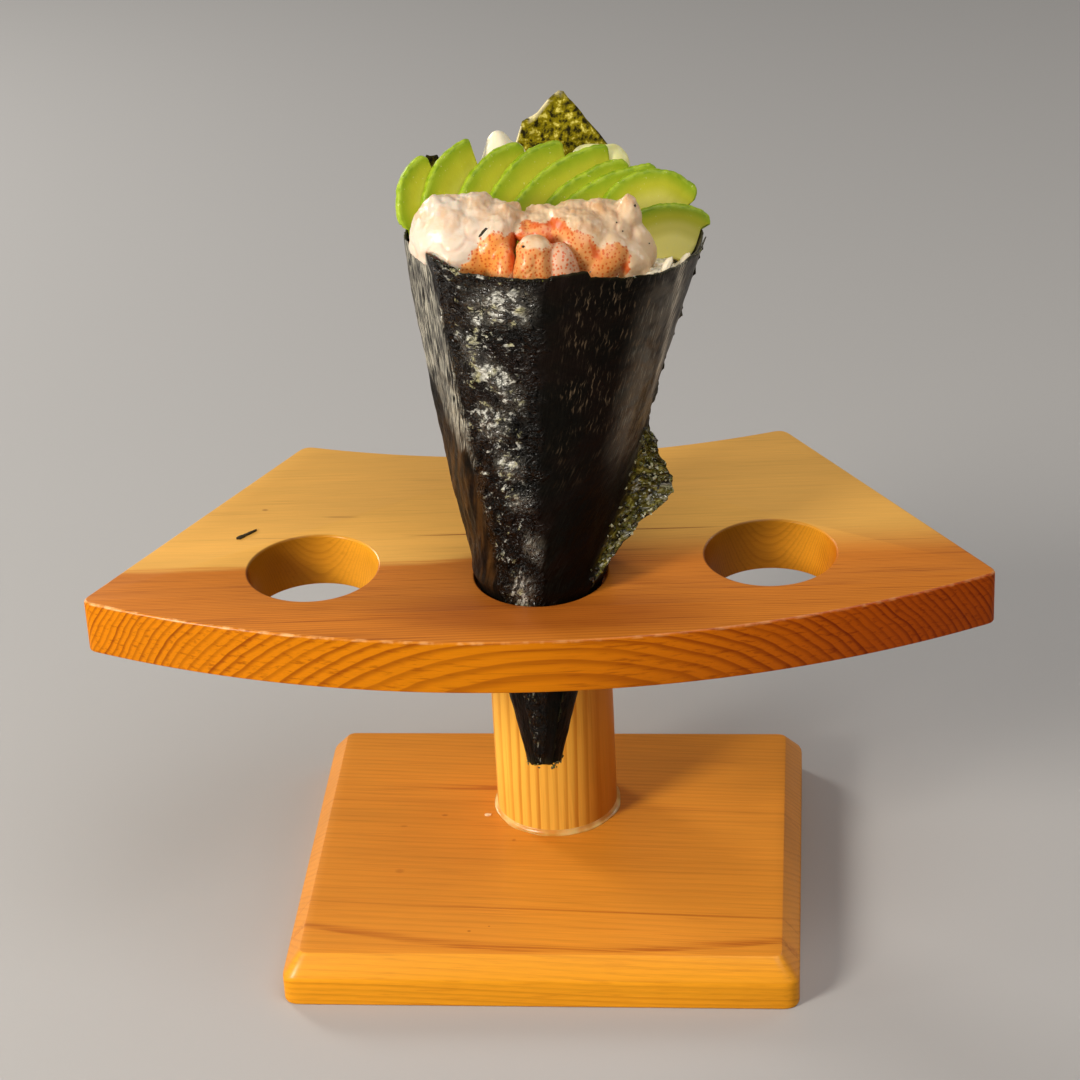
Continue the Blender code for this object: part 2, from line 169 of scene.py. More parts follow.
class Finish:
    """A material, and short words for the nodes that it is made of. A word returns the new node's output."""

    def __init__(self, name, **values):
        self.material = bpy.data.materials.new(name)
        self.material.use_nodes = True
        self.tree = self.material.node_tree
        self.shader = self.tree.nodes["Principled BSDF"]
        self.place = self.node("ShaderNodeTexCoord").outputs["Object"]
        self.set(**values)

    def set(self, **values):
        for name, value in values.items():
            fill(self.shader.inputs[name.replace("_", " ")], value)

    def node(self, kind, values=(), **settings):
        made = self.tree.nodes.new(kind)
        for name, value in settings.items():
            setattr(made, name, value)
        for socket, value in dict(values).items():
            fill(made.inputs[socket], value)
        return made

    def noise(self, at, scale, detail=2.0, rough=0.5, distort=0.0):
        values = {"Vector": at, "Scale": scale, "Detail": detail, "Roughness": rough, "Distortion": distort}
        return self.node("ShaderNodeTexNoise", values).outputs["Fac"]

    def dents(self, at, scale):
        """Foil-like dents: flat slopes that rise from the edges of cells."""
        values = {"Vector": at, "Scale": scale}
        return self.node("ShaderNodeTexVoronoi", values, feature="DISTANCE_TO_EDGE").outputs["Distance"]

    def stretch(self, at, scale=(1, 1, 1), turn=(0, 0, 0), move=(0, 0, 0)):
        values = {"Vector": at, "Scale": scale, "Rotation": turn, "Location": move}
        return self.node("ShaderNodeMapping", values).outputs["Vector"]

    def math(self, how, a, b=0.0):
        return self.node("ShaderNodeMath", {0: a, 1: b}, operation=how).outputs[0]

    def times(self, a, b):
        return self.math("MULTIPLY", a, b)

    def plus(self, a, b):
        return self.math("ADD", a, b)

    def minus(self, a, b):
        return self.math("SUBTRACT", a, b)

    def larger(self, a, b):
        return self.math("MAXIMUM", a, b)

    def axis(self, vector, name):
        """One coordinate of a vector."""
        return self.node("ShaderNodeSeparateXYZ", {0: vector}).outputs[name]

    def length(self, vector):
        return self.node("ShaderNodeVectorMath", {0: vector}, operation="LENGTH").outputs["Value"]

    def between(self, value, low, high):
        """0 below low, 1 above high and a smooth step between them. Low may be the larger."""
        values = {"Value": value, "From Min": low, "From Max": high}
        return self.node("ShaderNodeMapRange", values, interpolation_type="SMOOTHSTEP").outputs["Result"]

    def scaled(self, value, low, high):
        """A 0 to 1 value brought to low to high."""
        values = {"Value": value, "To Min": low, "To Max": high}
        return self.node("ShaderNodeMapRange", values).outputs["Result"]

    def blend(self, share, a, b, how="MIX"):
        made = self.node("ShaderNodeMix", data_type="RGBA", blend_type=how)
        for socket, value in ((0, share), (6, a), (7, b)):
            fill(made.inputs[socket], value)
        return made.outputs[2]

    def painted(self, name):
        """A number that the mesh carries at each point."""
        return self.node("ShaderNodeAttribute", attribute_name=name).outputs["Fac"]

    def bump(self, height, depth, strength=1.0, under=None):
        values = {"Height": height, "Distance": depth, "Strength": strength}
        if under is not None:
            values["Normal"] = under
        return self.node("ShaderNodeBump", values).outputs["Normal"]


print("sapwood yellow in linear light:", [round(c, 3) for c in picked(220, 162, 86)])

# %% [markdown]
# Pieces are made from points and faces. One helper turns them into an object, gives it its finish, rides
# it on the only body, and says which solid it takes the place of. Smooth shading with an angle limit
# keeps soft forms soft and sawn edges sharp.

# %% Helpers for pieces
def dressed(piece, finish, slot, *nodes, sharp=None):
    """Finish, shading and the frame's own calls, for a piece that already stands where it belongs."""
    if finish is not None:
        piece.data.materials.clear()
        piece.data.materials.append(finish.material)
    piece.data.shade_smooth()
    if sharp is not None:
        piece.data.set_sharp_from_angle(angle=math.radians(sharp))
    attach(piece, "root")
    if nodes:
        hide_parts(*nodes)
    print(f"{piece.name}: {len(piece.data.polygons)} faces")
    return piece


def new_piece(name, points, faces, painted=None):
    """A mesh object. painted holds lists of one number per point, which a finish can read by name."""
    mesh = bpy.data.meshes.new(name)
    mesh.from_pydata([tuple(point) for point in points], [], faces)
    for label, values in (painted or {}).items():
        add_numbers(mesh, label, values)
    mesh.update()
    piece = bpy.data.objects.new(name, mesh)
    bpy.context.scene.collection.objects.link(piece)
    return piece


print("a piece can be dressed")

# %% [markdown]
# A few more words are about meshes: faces between rows of points, a mesh taken as its modifiers show it,
# numbers painted on its points, a weld, many small parts as one piece, and smooth noise to push points
# about with.

# %% Helpers for meshes
def grid_faces(rows, columns, closed=False):
    """Quads between rows of points. A closed grid also joins the last column to the first."""
    faces = []
    for row in range(rows - 1):
        for column in range(columns if closed else columns - 1):
            right = (column + 1) % columns
            here, above = row * columns, (row + 1) * columns
            faces.append((here + column, here + right, above + right, above + column))
    return faces


def settle(piece):
    """Applies a piece's modifiers, so that its mesh is what is seen."""
    graph = bpy.context.evaluated_depsgraph_get()
    made = bpy.data.meshes.new_from_object(piece.evaluated_get(graph))
    piece.modifiers.clear()
    old, piece.data = piece.data, made
    bpy.data.meshes.remove(old)
    made.name = piece.name
    return piece


def add_numbers(mesh, name, values):
    """Paints one number at each point, which a finish can read by name."""
    mesh.attributes.new(name, "FLOAT", "POINT").data.foreach_set("value", values)


def welded(mesh, gap):
    """Merges a mesh's points that lie closer than the gap, and turns its faces outwards."""
    shape = bmesh.new()
    shape.from_mesh(mesh)
    bmesh.ops.remove_doubles(shape, verts=shape.verts, dist=gap)
    bmesh.ops.recalc_face_normals(shape, faces=shape.faces)
    shape.to_mesh(mesh)
    shape.free()


def joined(name, parts):
    """One piece from many small ones. Each part is its points and its faces."""
    points, faces = [], []
    for made, sides in parts:
        faces += [tuple(len(points) + i for i in face) for face in sides]
        points += made
    piece = new_piece(name, points, faces)
    welded(piece.data, 0.02 * MM)
    return piece


def bumps(point, size, seed=0.0):
    """Smooth noise from about -1 to 1, with lumps of that size."""
    return noise.noise(Vector(point) / size + Vector((seed, seed * 1.7, seed * 0.6)))


print("helpers ready")

# %% [markdown]
# The holder is pine under clear varnish. What makes pine look like pine is that its lines are the cut
# edges of growth rings: long tubes of wood round the middle of the tree. So the finish isn't painted on
# each face. It asks each point how far it is from the tree's middle, and every face, saw cut and hole
# wall then shows the pattern that a real cut would show: fine lines along the top, arcs where the front
# edge is sawn across them, stripes on the post. A pale ring is wide spring wood and its dark line is the
# thin summer wood. Slow noise bends the rings, stretched noise gives fibres, and the varnish is the
# shader's coat.

# %% Growth rings
HEART = picked(206, 122, 36)
SUMMER = picked(126, 50, 4)


def ring_reach(wood, turned, fine, heart):
    """How far each point is from the tree's middle. Slow noise bends the rings; fine noise shakes them."""
    slow = wood.noise(wood.stretch(turned, scale=(5, 16, 16)), 1.0, detail=1.0)
    side = wood.minus(wood.axis(turned, "Y"), heart[0])
    rise = wood.minus(wood.axis(turned, "Z"), heart[1])
    reach = wood.math("SQRT", wood.plus(wood.times(side, side), wood.times(rise, rise)))
    reach = wood.plus(reach, wood.scaled(slow, -4 * MM, 4 * MM))
    return wood.plus(reach, wood.scaled(fine, -0.55 * MM, 0.55 * MM))


def summer_wood(wood, reach, ring, narrow):
    """1 in a ring's dark line and 0 in its pale part; some years are darker than others. Where narrow is
    given, the rings get narrower outwards, and ring is their width at that distance."""
    if narrow is None:
        rings = wood.math("DIVIDE", reach, ring)
    else:
        outwards = wood.math("POWER", wood.math("DIVIDE", reach, narrow), 3)
        rings = wood.times(outwards, narrow / ring / 3)
    year = wood.node("ShaderNodeTexWhiteNoise", {"W": wood.math("FLOOR", rings)}, noise_dimensions="1D")
    phase = wood.math("FRACT", rings)
    line = wood.times(wood.between(phase, 0.36, 0.86), wood.between(phase, 1.0, 0.90))
    return wood.times(line, wood.scaled(year.outputs["Value"], 0.4, 1.0))


def sapwood_share(wood, turned, reach, streaks, heart_reach):
    """0 in the heartwood and 1 in the sapwood round it. The border is frayed, and softer at the right."""
    left, right = heart_reach
    across = wood.axis(turned, "X")
    edge = wood.plus(reach, wood.scaled(wood.between(across, -35 * MM, 35 * MM), 0, left - right))
    edge = wood.plus(edge, wood.scaled(streaks, -3 * MM, 3 * MM))
    low = wood.scaled(wood.between(across, 0, 35 * MM), left - 2.5 * MM, left - 20 * MM)
    return wood.between(edge, low, left + 2 * MM)


print("heartwood in linear light:", [round(c, 3) for c in HEART])

# %% [markdown]
# A real board also has what no formula gives: a ring that happens to surface as one long dark line, brown
# flecks, and shade, which is painted here: inside a bored hole, and over the post's shaded side. Each of them
# is a small function that returns where it lies, from 0 to 1.

# %% Single marks
MARK_END = 8  # mm over which a single ring fades out


def single_ring(wood, turned, fine, mark):
    """One dark ring on a face: a parabola along X with a sharp side and a soft one."""
    middle, bend, half, _, start, end = mark
    x, y = wood.axis(turned, "X"), wood.axis(turned, "Y")
    curve = wood.plus(wood.times(wood.times(x, x), bend * MM / (60 * MM) ** 2), middle * MM)
    curve = wood.plus(curve, wood.scaled(fine, -1.5 * MM, 1.5 * MM))
    off = wood.minus(y, curve)
    line = wood.times(wood.between(off, half * MM, 0), wood.between(off, -0.5 * half * MM, -0.15 * half * MM))
    line = wood.times(line, wood.between(x, (start - MARK_END) * MM, (start + MARK_END) * MM))
    return wood.times(line, wood.between(x, (end + MARK_END) * MM, (end - MARK_END) * MM))


def fleck(wood, spot):
    """A soft oval seen from above."""
    x, y, long, wide, _ = spot
    near = wood.stretch(wood.place, scale=(1000 / long, 1000 / wide, 0), move=(-x / long, -y / wide, 0))
    return wood.between(wood.length(near), 1, 0.3)


def hole_wall(wood, hole):
    """Where a bored hole's wall is, and the painted shade on it: darker at the left, where no light falls in.
    """
    away = wood.node("ShaderNodeVectorMath", {0: wood.place, 1: hole}, operation="SUBTRACT").outputs[0]
    far = wood.length(wood.stretch(away, scale=(1, 1, 0)))
    wall = wood.between(far, HOLE_RADIUS + 0.9 * MM, HOLE_RADIUS + 0.2 * MM)
    to_right = wood.between(wood.axis(away, "X"), -14 * MM, 14 * MM)
    return wall, wood.blend(to_right, (0.33, 0.24, 0.05, 1), (0.95, 0.78, 0.22, 1))


print("a single ring fades out over", MARK_END, "mm at each end")

# %% [markdown]
# Now the finish itself: dark summer wood over pale spring wood, streaks, single marks, the tint of the
# front edge, which is partly painted light, painted shade, wear, and varnish that shines most on level
# faces. Each part of the stand calls it with its own place in the tree.

# %% Pine
def with_front(wood, colour, turned, normal, holes, edge_tint_and_light):
    """Adds painted shade in the bored holes, and the front edge's tint: partly its own deeper colour and
    partly painted light, where the left and right tints differ: lighter at the lit left, darker at the shaded
    right.
    """
    front = wood.between(wood.axis(normal, "Y"), -0.2, -0.5)
    for hole in holes:
        wall, painted_hole_shade = hole_wall(wood, hole)
        # Painted shade in the hole, darkest on its left wall.
        colour = wood.blend(wall, colour, painted_hole_shade, how="MULTIPLY")
        front = wood.times(front, wood.minus(1.0, wall))
    # Painted light on the front edge: lighter at the left, darker at the right, where the two tints differ.
    tint = wood.blend(wood.between(wood.axis(turned, "X"), -35 * MM, 120 * MM), *edge_tint_and_light)
    return wood.blend(front, colour, tint, how="MULTIPLY")


def with_wear(wood, colour, cloud, fibres):
    """Makes the brightness uneven, in clouds and along the fibres, and adds pale wood where it is worn."""
    shade = wood.times(wood.scaled(cloud, 0.84, 1.14), wood.scaled(fibres, 0.86, 1.12))
    grey = wood.node("ShaderNodeCombineXYZ", {0: shade, 1: shade, 2: shade}).outputs[0]
    colour = wood.blend(1.0, colour, grey, how="MULTIPLY")
    chips = wood.between(wood.noise(wood.place, 300, detail=4.0), 0.42, 0.66)
    worn = wood.times(wood.painted("worn"), chips)
    return wood.blend(wood.times(worn, 0.75), colour, picked(244, 186, 120))


def pine(name, heart, turn, ring, sap_colour, line_colour=SUMMER, line_share=0.6, streak_share=0.4,
         edge_tint_and_light=((1, 1, 1, 1), (1, 1, 1, 1)), narrow=None, heart_reach=None, marks=(), spots=(), holes=()):
    """Pine whose fibres run along X after the turn. heart is the tree's middle in Y and Z, once turned.
    The edge tint colours the front edge at its left and its right, partly as the cut edge's own deeper
    colour and partly as painted light, lit at the left and shaded at the right; heart_reach is the
    heartwood's radius there.
    marks are single dark rings: (Y at the middle, how much it bends in 60 mm, half width, share, start and
    end in X), in millimetres. spots are soft ovals in the line colour: (X, Y, half length, half width,
    share); most are brown flecks, and one laid over a shaded side is painted shade. holes are the middles
    of the bored ones."""
    wood = Finish(name, Coat_Roughness=0.2)
    turned = wood.stretch(wood.place, turn=turn)
    normal = wood.node("ShaderNodeNewGeometry").outputs["Normal"]
    level = wood.between(wood.axis(normal, "Z"), 0.3, 0.8)
    end_on = wood.math("ABSOLUTE", wood.axis(wood.stretch(normal, turn=turn), "X"))
    fine = wood.noise(wood.stretch(turned, scale=(16, 95, 95)), 1.0, detail=2.0)
    fibres = wood.noise(wood.stretch(turned, scale=(60, 2400, 2400)), 1.0, detail=3.0, rough=0.6)
    streaks = wood.noise(wood.stretch(turned, scale=(28, 1100, 1100)), 1.0, detail=3.0, rough=0.6)
    cloud = wood.noise(wood.stretch(turned, scale=(12, 60, 60)), 1.0, detail=2.0)
    reach = ring_reach(wood, turned, fine, heart)
    summer = summer_wood(wood, reach, ring, narrow)
    body, streaky = sap_colour, streak_share
    if heart_reach is not None:
        sapwood = sapwood_share(wood, turned, reach, streaks, heart_reach)
        body = wood.blend(sapwood, HEART, sap_colour)
        summer = wood.times(summer, wood.scaled(sapwood, 1, 0.25))
        streaky = wood.scaled(sapwood, streak_share, 0.12)
    summer = wood.times(summer, wood.scaled(level, 1, 0.55))
    colour = wood.blend(wood.times(summer, line_share), body, line_colour)
    dark = wood.times(wood.between(streaks, 0.52, 0.72), wood.between(end_on, 0.75, 0.35))
    colour = wood.blend(wood.times(dark, streaky), colour, line_colour)
    broken = wood.scaled(wood.between(streaks, 0.38, 0.62), 0.3, 1)
    for mark in marks:
        line = wood.times(single_ring(wood, turned, fine, mark), broken)
        line = wood.times(line, wood.scaled(wood.times(cloud, level), 0, 2 * mark[3]))
        colour = wood.blend(line, colour, line_colour)
    for spot in spots:
        colour = wood.blend(wood.times(fleck(wood, spot), spot[4]), colour, line_colour)
    colour = with_front(wood, colour, turned, normal, holes, edge_tint_and_light)
    colour = with_wear(wood, colour, cloud, fibres)
    relief = wood.plus(wood.times(fibres, 0.5), wood.times(summer, -0.4))
    wood.set(Base_Color=colour, Normal=wood.bump(relief, 0.12 * MM, 0.35))
    wood.set(Roughness=wood.scaled(streaks, 0.36, 0.50), Coat_Weight=wood.scaled(level, 0.03, 0.2))
    wood.set(Specular_IOR_Level=wood.scaled(level, 0.06, 0.3))
    return wood


print("fibres, rings, marks and varnish are ready")

# %% [markdown]
# The base is a board with a wide chamfer all round its top and slightly rounded corners. I draw its
# outline at rising heights, each a little smaller or larger, and join the loops. That is a loft, and it
# gives exact control over the chamfer and the tiny rounded edges that catch the light. The first and last
# loops lie flat, just inside the edge, so that the large flat faces keep their own shading.

# %% Outline and loft
def rounded_outline(corners, steps=6):
    """Corners are (point, radius). Each one with a radius becomes an arc, made as a quadratic curve."""
    outline = []
    for i, (corner, radius) in enumerate(corners):
        if radius == 0:
            outline.append(corner)
            continue
        before = corners[i - 1][0]
        after = corners[(i + 1) % len(corners)][0]
        start = corner + (before - corner).normalized() * radius
        end = corner + (after - corner).normalized() * radius
        for step in range(steps + 1):
            t = step / steps
            outline.append(start * (1 - t) ** 2 + corner * (2 * t * (1 - t)) + end * t**2)
    return outline


def stacked(name, loops):
    """A closed body through loops of the same number of points, from the bottom up."""
    count = len(loops[0])
    faces = grid_faces(len(loops), count, closed=True)
    faces.append(tuple(reversed(range(count))))
    faces.append(tuple(range((len(loops) - 1) * count, len(loops) * count)))
    return new_piece(name, [point for loop in loops for point in loop], faces)


print("a rounded corner takes", len(rounded_outline([(Vector((1, 1, 0)), 0.004)])), "points")

# %% [markdown]
# The base is one such stack. Its wide dark marks are rings that happen to come to the surface, and its
# spots are small flecks. Both are listed one by one, since it was chance that put them on the real board.

# %% Base
BASE_WIDTH, BASE_DEPTH, BASE_HEIGHT = 153.8 * MM, 130.3 * MM, 15.7 * MM
CHAMFER_IN, CHAMFER_DOWN = 5.1 * MM, 6.7 * MM
SMALL_EDGE = 0.9 * MM
BASE_MARKS = ((-57.4, 5.6, 3.6, 0.6, -90, 90), (26.6, -2, 3.2, 0.45, -56, -8), (-38, 0.5, 1.2, 0.45, -90, 90),
              (18, 0, 2.0, 0.25, -90, 90))
BASE_SPOTS = ((-46, -18.2, 1.9, 1.6, 0.35), (-35.1, 12.3, 1.4, 0.7, 0.6), (-47.4, 6.1, 1.6, 0.8, 0.35),
              (-12.1, -1.2, 0.9, 0.8, 0.5), (-21.7, -48.8, 0.8, 0.6, 0.7), (-15.9, -46.3, 0.5, 0.4, 0.7))


def base_loop(inwards, height):
    """The board's outline moved in and up. The corner's radius shrinks with it."""
    radius = 5 * MM - 0.4 * inwards
    half_x, half_y = BASE_WIDTH / 2 - inwards, BASE_DEPTH / 2 - inwards
    signs = ((-1, -1), (1, -1), (1, 1), (-1, 1))
    return rounded_outline([(Vector((x * half_x, y * half_y, height)), radius) for x, y in signs])


def add_base():
    shoulder = BASE_HEIGHT - CHAMFER_DOWN
    slope = Vector((CHAMFER_IN, CHAMFER_DOWN)).normalized() * SMALL_EDGE
    profile = [(3 * MM, 0), (0.7 * MM, 0), (0.2 * MM, 0.2 * MM), (0, 0.7 * MM)]
    profile += [(0, shoulder - SMALL_EDGE), (0.06 * MM, shoulder - 0.3 * MM), (0.3 * MM, shoulder + 0.3 * MM)]
    profile += [(slope.x, shoulder + slope.y), (CHAMFER_IN - slope.x * 0.6, BASE_HEIGHT - slope.y * 0.6)]
    profile += [(CHAMFER_IN + 0.05 * MM, BASE_HEIGHT - 0.12 * MM), (CHAMFER_IN + 0.6 * MM, BASE_HEIGHT)]
    profile += [(CHAMFER_IN + 3 * MM, BASE_HEIGHT)]
    base = stacked("holder_base", [base_loop(inwards, height) for inwards, height in profile])
    # Front faces lighter and more orange than the top: partly the sawn face's colour, partly painted light.
    finish = pine("pine_base", heart=(-95 * MM, -60 * MM), turn=(0, 0, math.radians(2.9)), ring=1.9 * MM,
                  sap_colour=picked(224, 144, 42), line_colour=picked(164, 78, 10),
                  line_share=0.35, streak_share=0.25, edge_tint_and_light=((1.13, 1.2, 0.6, 1), (1.13, 1.2, 0.6, 1)),
                  marks=BASE_MARKS, spots=BASE_SPOTS)
    return dressed(base, finish, "pine", "stand_base", sharp=20)


add_base()

# %% [markdown]
# The post is turned from a stick whose rings stand upright, so it shows stripes a few millimetres apart.
# The same finish does it: the fibres' X axis is simply turned to point up. The bead of dried glue round
# its foot was squeezed out by hand, so its radius wanders, and it is a piece of its own with a milky
# finish.

# %% Post and glue
POST_RADIUS, POST_Y = 18.9 * MM, 21.1 * MM
PLATE_TOP, PLATE_THICKNESS = 125.9 * MM, 16.8 * MM
TURNED_STEPS = 128
GLUE_WIDTH, GLUE_HEIGHT = 1.1 * MM, 1.5 * MM


def turned_body(name, profile, wander=lambda angle, radius: 0):
    """A lathe: profile lists (radius, height), and wander says how much a radius changes at an angle."""
    loops = []
    for radius, height in profile:
        angles = [math.tau * step / TURNED_STEPS for step in range(TURNED_STEPS)]
        reaches = [radius + wander(angle, radius) for angle in angles]
        loops.append([(reach * math.cos(angle), POST_Y + reach * math.sin(angle), height)
                      for reach, angle in zip(reaches, angles)])
    return stacked(name, loops)


def add_post():
    foot, head = BASE_HEIGHT + 0.05 * MM, PLATE_TOP - PLATE_THICKNESS - 0.05 * MM
    post = turned_body("holder_post", [(POST_RADIUS, foot), (POST_RADIUS, head)])
    # The post's one spot is painted shade: a soft dark oval over its right side, away from the key light.
    finish = pine("pine_post", heart=(30 * MM, 160 * MM), turn=(0, math.radians(90), 0), ring=3.1 * MM,
                  sap_colour=picked(250, 190, 76), line_colour=picked(190, 102, 14),
                  line_share=0.75, streak_share=0.25, spots=((20.5, -12, 13.5, 60, 0.88),))
    return dressed(post, finish, "pine", "stand_post", sharp=40)


def add_glue():
    def wander(angle, radius):
        share = max(0.0, (radius - POST_RADIUS) / GLUE_WIDTH)
        return share * 0.5 * MM * bumps((math.cos(angle), math.sin(angle), 0), 0.35)

    foot = BASE_HEIGHT + 0.02 * MM
    inner = POST_RADIUS - 0.3 * MM
    profile = [(inner, foot), (POST_RADIUS + GLUE_WIDTH, foot)]
    for step in range(1, 7):
        t = math.radians(90 * step / 6)
        rise = GLUE_HEIGHT * (1 - math.cos(t)) ** 0.8
        profile.append((POST_RADIUS + GLUE_WIDTH * (1 - math.sin(t)), foot + rise))
    profile.append((inner, foot + 1.45 * MM))
    bead = turned_body("glue_bead", profile, wander=wander)
    glue = Finish("dried_glue", Roughness=0.3, Subsurface_Weight=0.25, Subsurface_Scale=1.5 * MM)
    patches = glue.noise(glue.place, 160, detail=2.0)
    tone = glue.blend(glue.between(patches, 0.35, 0.7), picked(222, 152, 62), picked(246, 200, 124))
    glue.set(Base_Color=tone)
    return dressed(bead, glue, "pine")


add_post()
add_glue()

# %% [markdown]
# The plate is a fan-shaped board: a front edge sawn on a large arc, a back edge on a smaller one,
# straight sides and three bored holes. A flat curve object is the shortest way to it, as sawing and
# routing would be: the outline and the three circles are splines of one curve, which Blender fills with
# the holes left open; `extrude` gives the thickness, and `bevel_depth` runs a round edge along every rim,
# holes included. Then it becomes a mesh.

# %% Plate outline
MIDDLE_HOLE = Vector((3.1 * MM, -24.8 * MM, 0))
PLATE_TURN = math.radians(3.7)
PLATE_PLACE = Matrix.Translation(MIDDLE_HOLE + Vector((0, 0, PLATE_TOP - PLATE_THICKNESS / 2)))
PLATE_PLACE @= Matrix.Rotation(PLATE_TURN, 4, "Z")
HOLE_RADIUS = 19.0 * MM
SIDE_HOLE = Vector((66.5 * MM, 7.2 * MM, 0))
HOLES = [Vector((side * SIDE_HOLE.x, abs(side) * SIDE_HOLE.y, 0)) for side in (-1, 0, 1)]
PLATE_EDGE = 0.85 * MM
PLATE_CORNER = 3.4 * MM
HOLE_STEPS = 96


def plate_arc(radius, apex, start, end, steps):
    """Points of an arc that bulges towards -Y, from X start to X end. apex is the Y of its foremost point."""
    points = []
    for step in range(steps + 1):
        x = start + (end - start) * step / steps
        points.append(Vector((x, apex + radius - math.sqrt(radius**2 - x**2), 0)))
    return points


def plate_loops():
    """The outline, front arc then back arc, and the three circles."""
    front = plate_arc(297.7 * MM, -38.9 * MM, -132.8 * MM, 130.8 * MM, 72)
    back = plate_arc(236.8 * MM, 71.7 * MM, 74.4 * MM, -74.4 * MM, 36)
    ends = (front[0], front[-1], back[0], back[-1])
    loops = [rounded_outline([(p, PLATE_CORNER if p in ends else 0) for p in front + back])]
    angles = [math.tau * step / HOLE_STEPS for step in range(HOLE_STEPS)]
    for centre in HOLES:
        loops.append([centre + HOLE_RADIUS * Vector((math.cos(t), math.sin(t), 0)) for t in angles])
    return loops


def filled(loops, thickness, edge):
    """A mesh between closed loops, filled, with a round edge along every rim."""
    curve = bpy.data.curves.new("drawing", "CURVE")
    curve.dimensions = "2D"
    curve.fill_mode = "BOTH"
    curve.extrude = thickness / 2 - edge
    curve.bevel_depth = edge
    curve.bevel_resolution = 3
    curve.offset = -edge
    for loop in loops:
        spline = curve.splines.new("POLY")
        spline.points.add(len(loop) - 1)
        spline.points.foreach_set("co", [v for p in loop for v in (p.x, p.y, 0, 1)])
        spline.use_cyclic_u = True
    drawn = bpy.data.objects.new("drawing", curve)
    bpy.context.scene.collection.objects.link(drawn)
    mesh = bpy.data.meshes.new_from_object(drawn.evaluated_get(bpy.context.evaluated_depsgraph_get()))
    bpy.data.objects.remove(drawn)
    return mesh


print("loops of the plate:", [len(loop) for loop in plate_loops()])

# %% [markdown]
# The middle of the plate's tree lies in front of it, so the front of the plate is orange heartwood and
# the back pale sapwood. The varnish is rubbed off along the upper front edge; how much, is painted on the
# mesh.

# %% Plate
PLATE_MARKS = ((-1.3, 0, 0.9, 0.9, -34, 50), (-1.0, 0, 0.7, 0.5, -84, -70))
# Brown flecks; the last is a wide darker patch on the plate in front of the roll.
PLATE_SPOTS = ((-59.3, 8.1, 7, 0.9, 0.3), (-82.9, 12.6, 1.3, 0.8, 0.5), (-36, 31, 9, 1.2, 0.12),
               (6, -48, 62, 17, 0.55))


def wear(point):
    """How much the varnish is rubbed off: only along the upper front edge, and most of all at its left."""
    low, high = PLATE_TOP - PLATE_EDGE * 0.95, PLATE_TOP - PLATE_EDGE * 0.05
    if not low < point.z < high or point.y >= -55 * MM + point.x**2 / (560 * MM):
        return 0.0
    return 1.0 if point.x < -55 * MM else 0.55 if point.x < -5 * MM else 0.3


def add_plate():
    mesh = filled(plate_loops(), PLATE_THICKNESS, PLATE_EDGE)
    mesh.transform(PLATE_PLACE)
    welded(mesh, 0.001 * MM)
    add_numbers(mesh, "worn", [wear(vert.co) for vert in mesh.vertices])
    plate = bpy.data.objects.new("holder_plate", mesh)
    bpy.context.scene.collection.objects.link(plate)
    # The front edge: lighter at the left, darker and redder at the right, partly painted light and shade.
    finish = pine("pine_plate", heart=(-170 * MM, 85.5 * MM), turn=(0, 0, math.radians(-3)), ring=1.5 * MM,
                  narrow=105 * MM, sap_colour=picked(238, 178, 84), line_share=0.85, streak_share=0.55,
                  edge_tint_and_light=((1.1, 1.07, 0.07, 1), (0.72, 0.35, 0.04, 1)),
                  heart_reach=(158.5 * MM, 174 * MM), marks=PLATE_MARKS, spots=PLATE_SPOTS,
                  holes=[PLATE_PLACE @ hole for hole in HOLES])
    return dressed(plate, finish, "pine", "stand_plate", sharp=20)


add_plate()

# %% [markdown]
# The roll leans in its hole, so everything edible is worked out in the roll's own frame: Z runs up the
# cone's axis, its zero is at the plate's top, and angles go round from +X towards +Y, with 270 degrees in
# front. One matrix then puts each finished piece in its place. The cone's radius grows in two straight
# stretches, its middle drifts to the right as it widens, and a flat facet on the left is where the sheet
# was folded.

# %% Roll frame
ROLL = Matrix.Translation(MIDDLE_HOLE + Vector((0, -0.3 * MM, PLATE_TOP)))
ROLL @= Euler((math.radians(-5), math.radians(1.6), math.radians(5.75))).to_matrix().to_4x4()
TIP_Z, MOUTH_Z = -60.5 * MM, 102 * MM
TIP_RADIUS, NECK_RADIUS, MOUTH_RADIUS = 5.1 * MM, 18.4 * MM, 41.5 * MM
MOUTH_SHIFT = 5.8 * MM
CREASE_MIDDLE, CREASE_HALF = math.radians(200), math.radians(17)


def cone_radius(z):
    """Two straight stretches, with a slight swelling where the sheet rests on the hole's rim."""
    top, height = (TIP_RADIUS, TIP_Z) if z < 0 else (MOUTH_RADIUS, MOUTH_Z)
    swelling = 0.75 * MM * math.exp(-(((z - 2.4 * MM) / (2.2 * MM)) ** 2))
    return NECK_RADIUS + (top - NECK_RADIUS) * z / height + swelling


def on_roll(turn, z, lift=0.0):
    """A point on the cone, moved outwards by lift. The facet fades out where the hole rounds the sheet."""
    away = (turn - CREASE_MIDDLE + math.pi) % math.tau - math.pi
    flat = math.cos(CREASE_HALF) / math.cos(away) if abs(away) < CREASE_HALF else 1.0
    flat += (1 - flat) * smooth(z, 16 * MM, 3 * MM)
    radius = cone_radius(z) * flat + lift
    shift = MOUTH_SHIFT * max(z, 0) ** 2 / MOUTH_Z**2
    return Vector((shift + radius * math.cos(turn), radius * math.sin(turn), z))


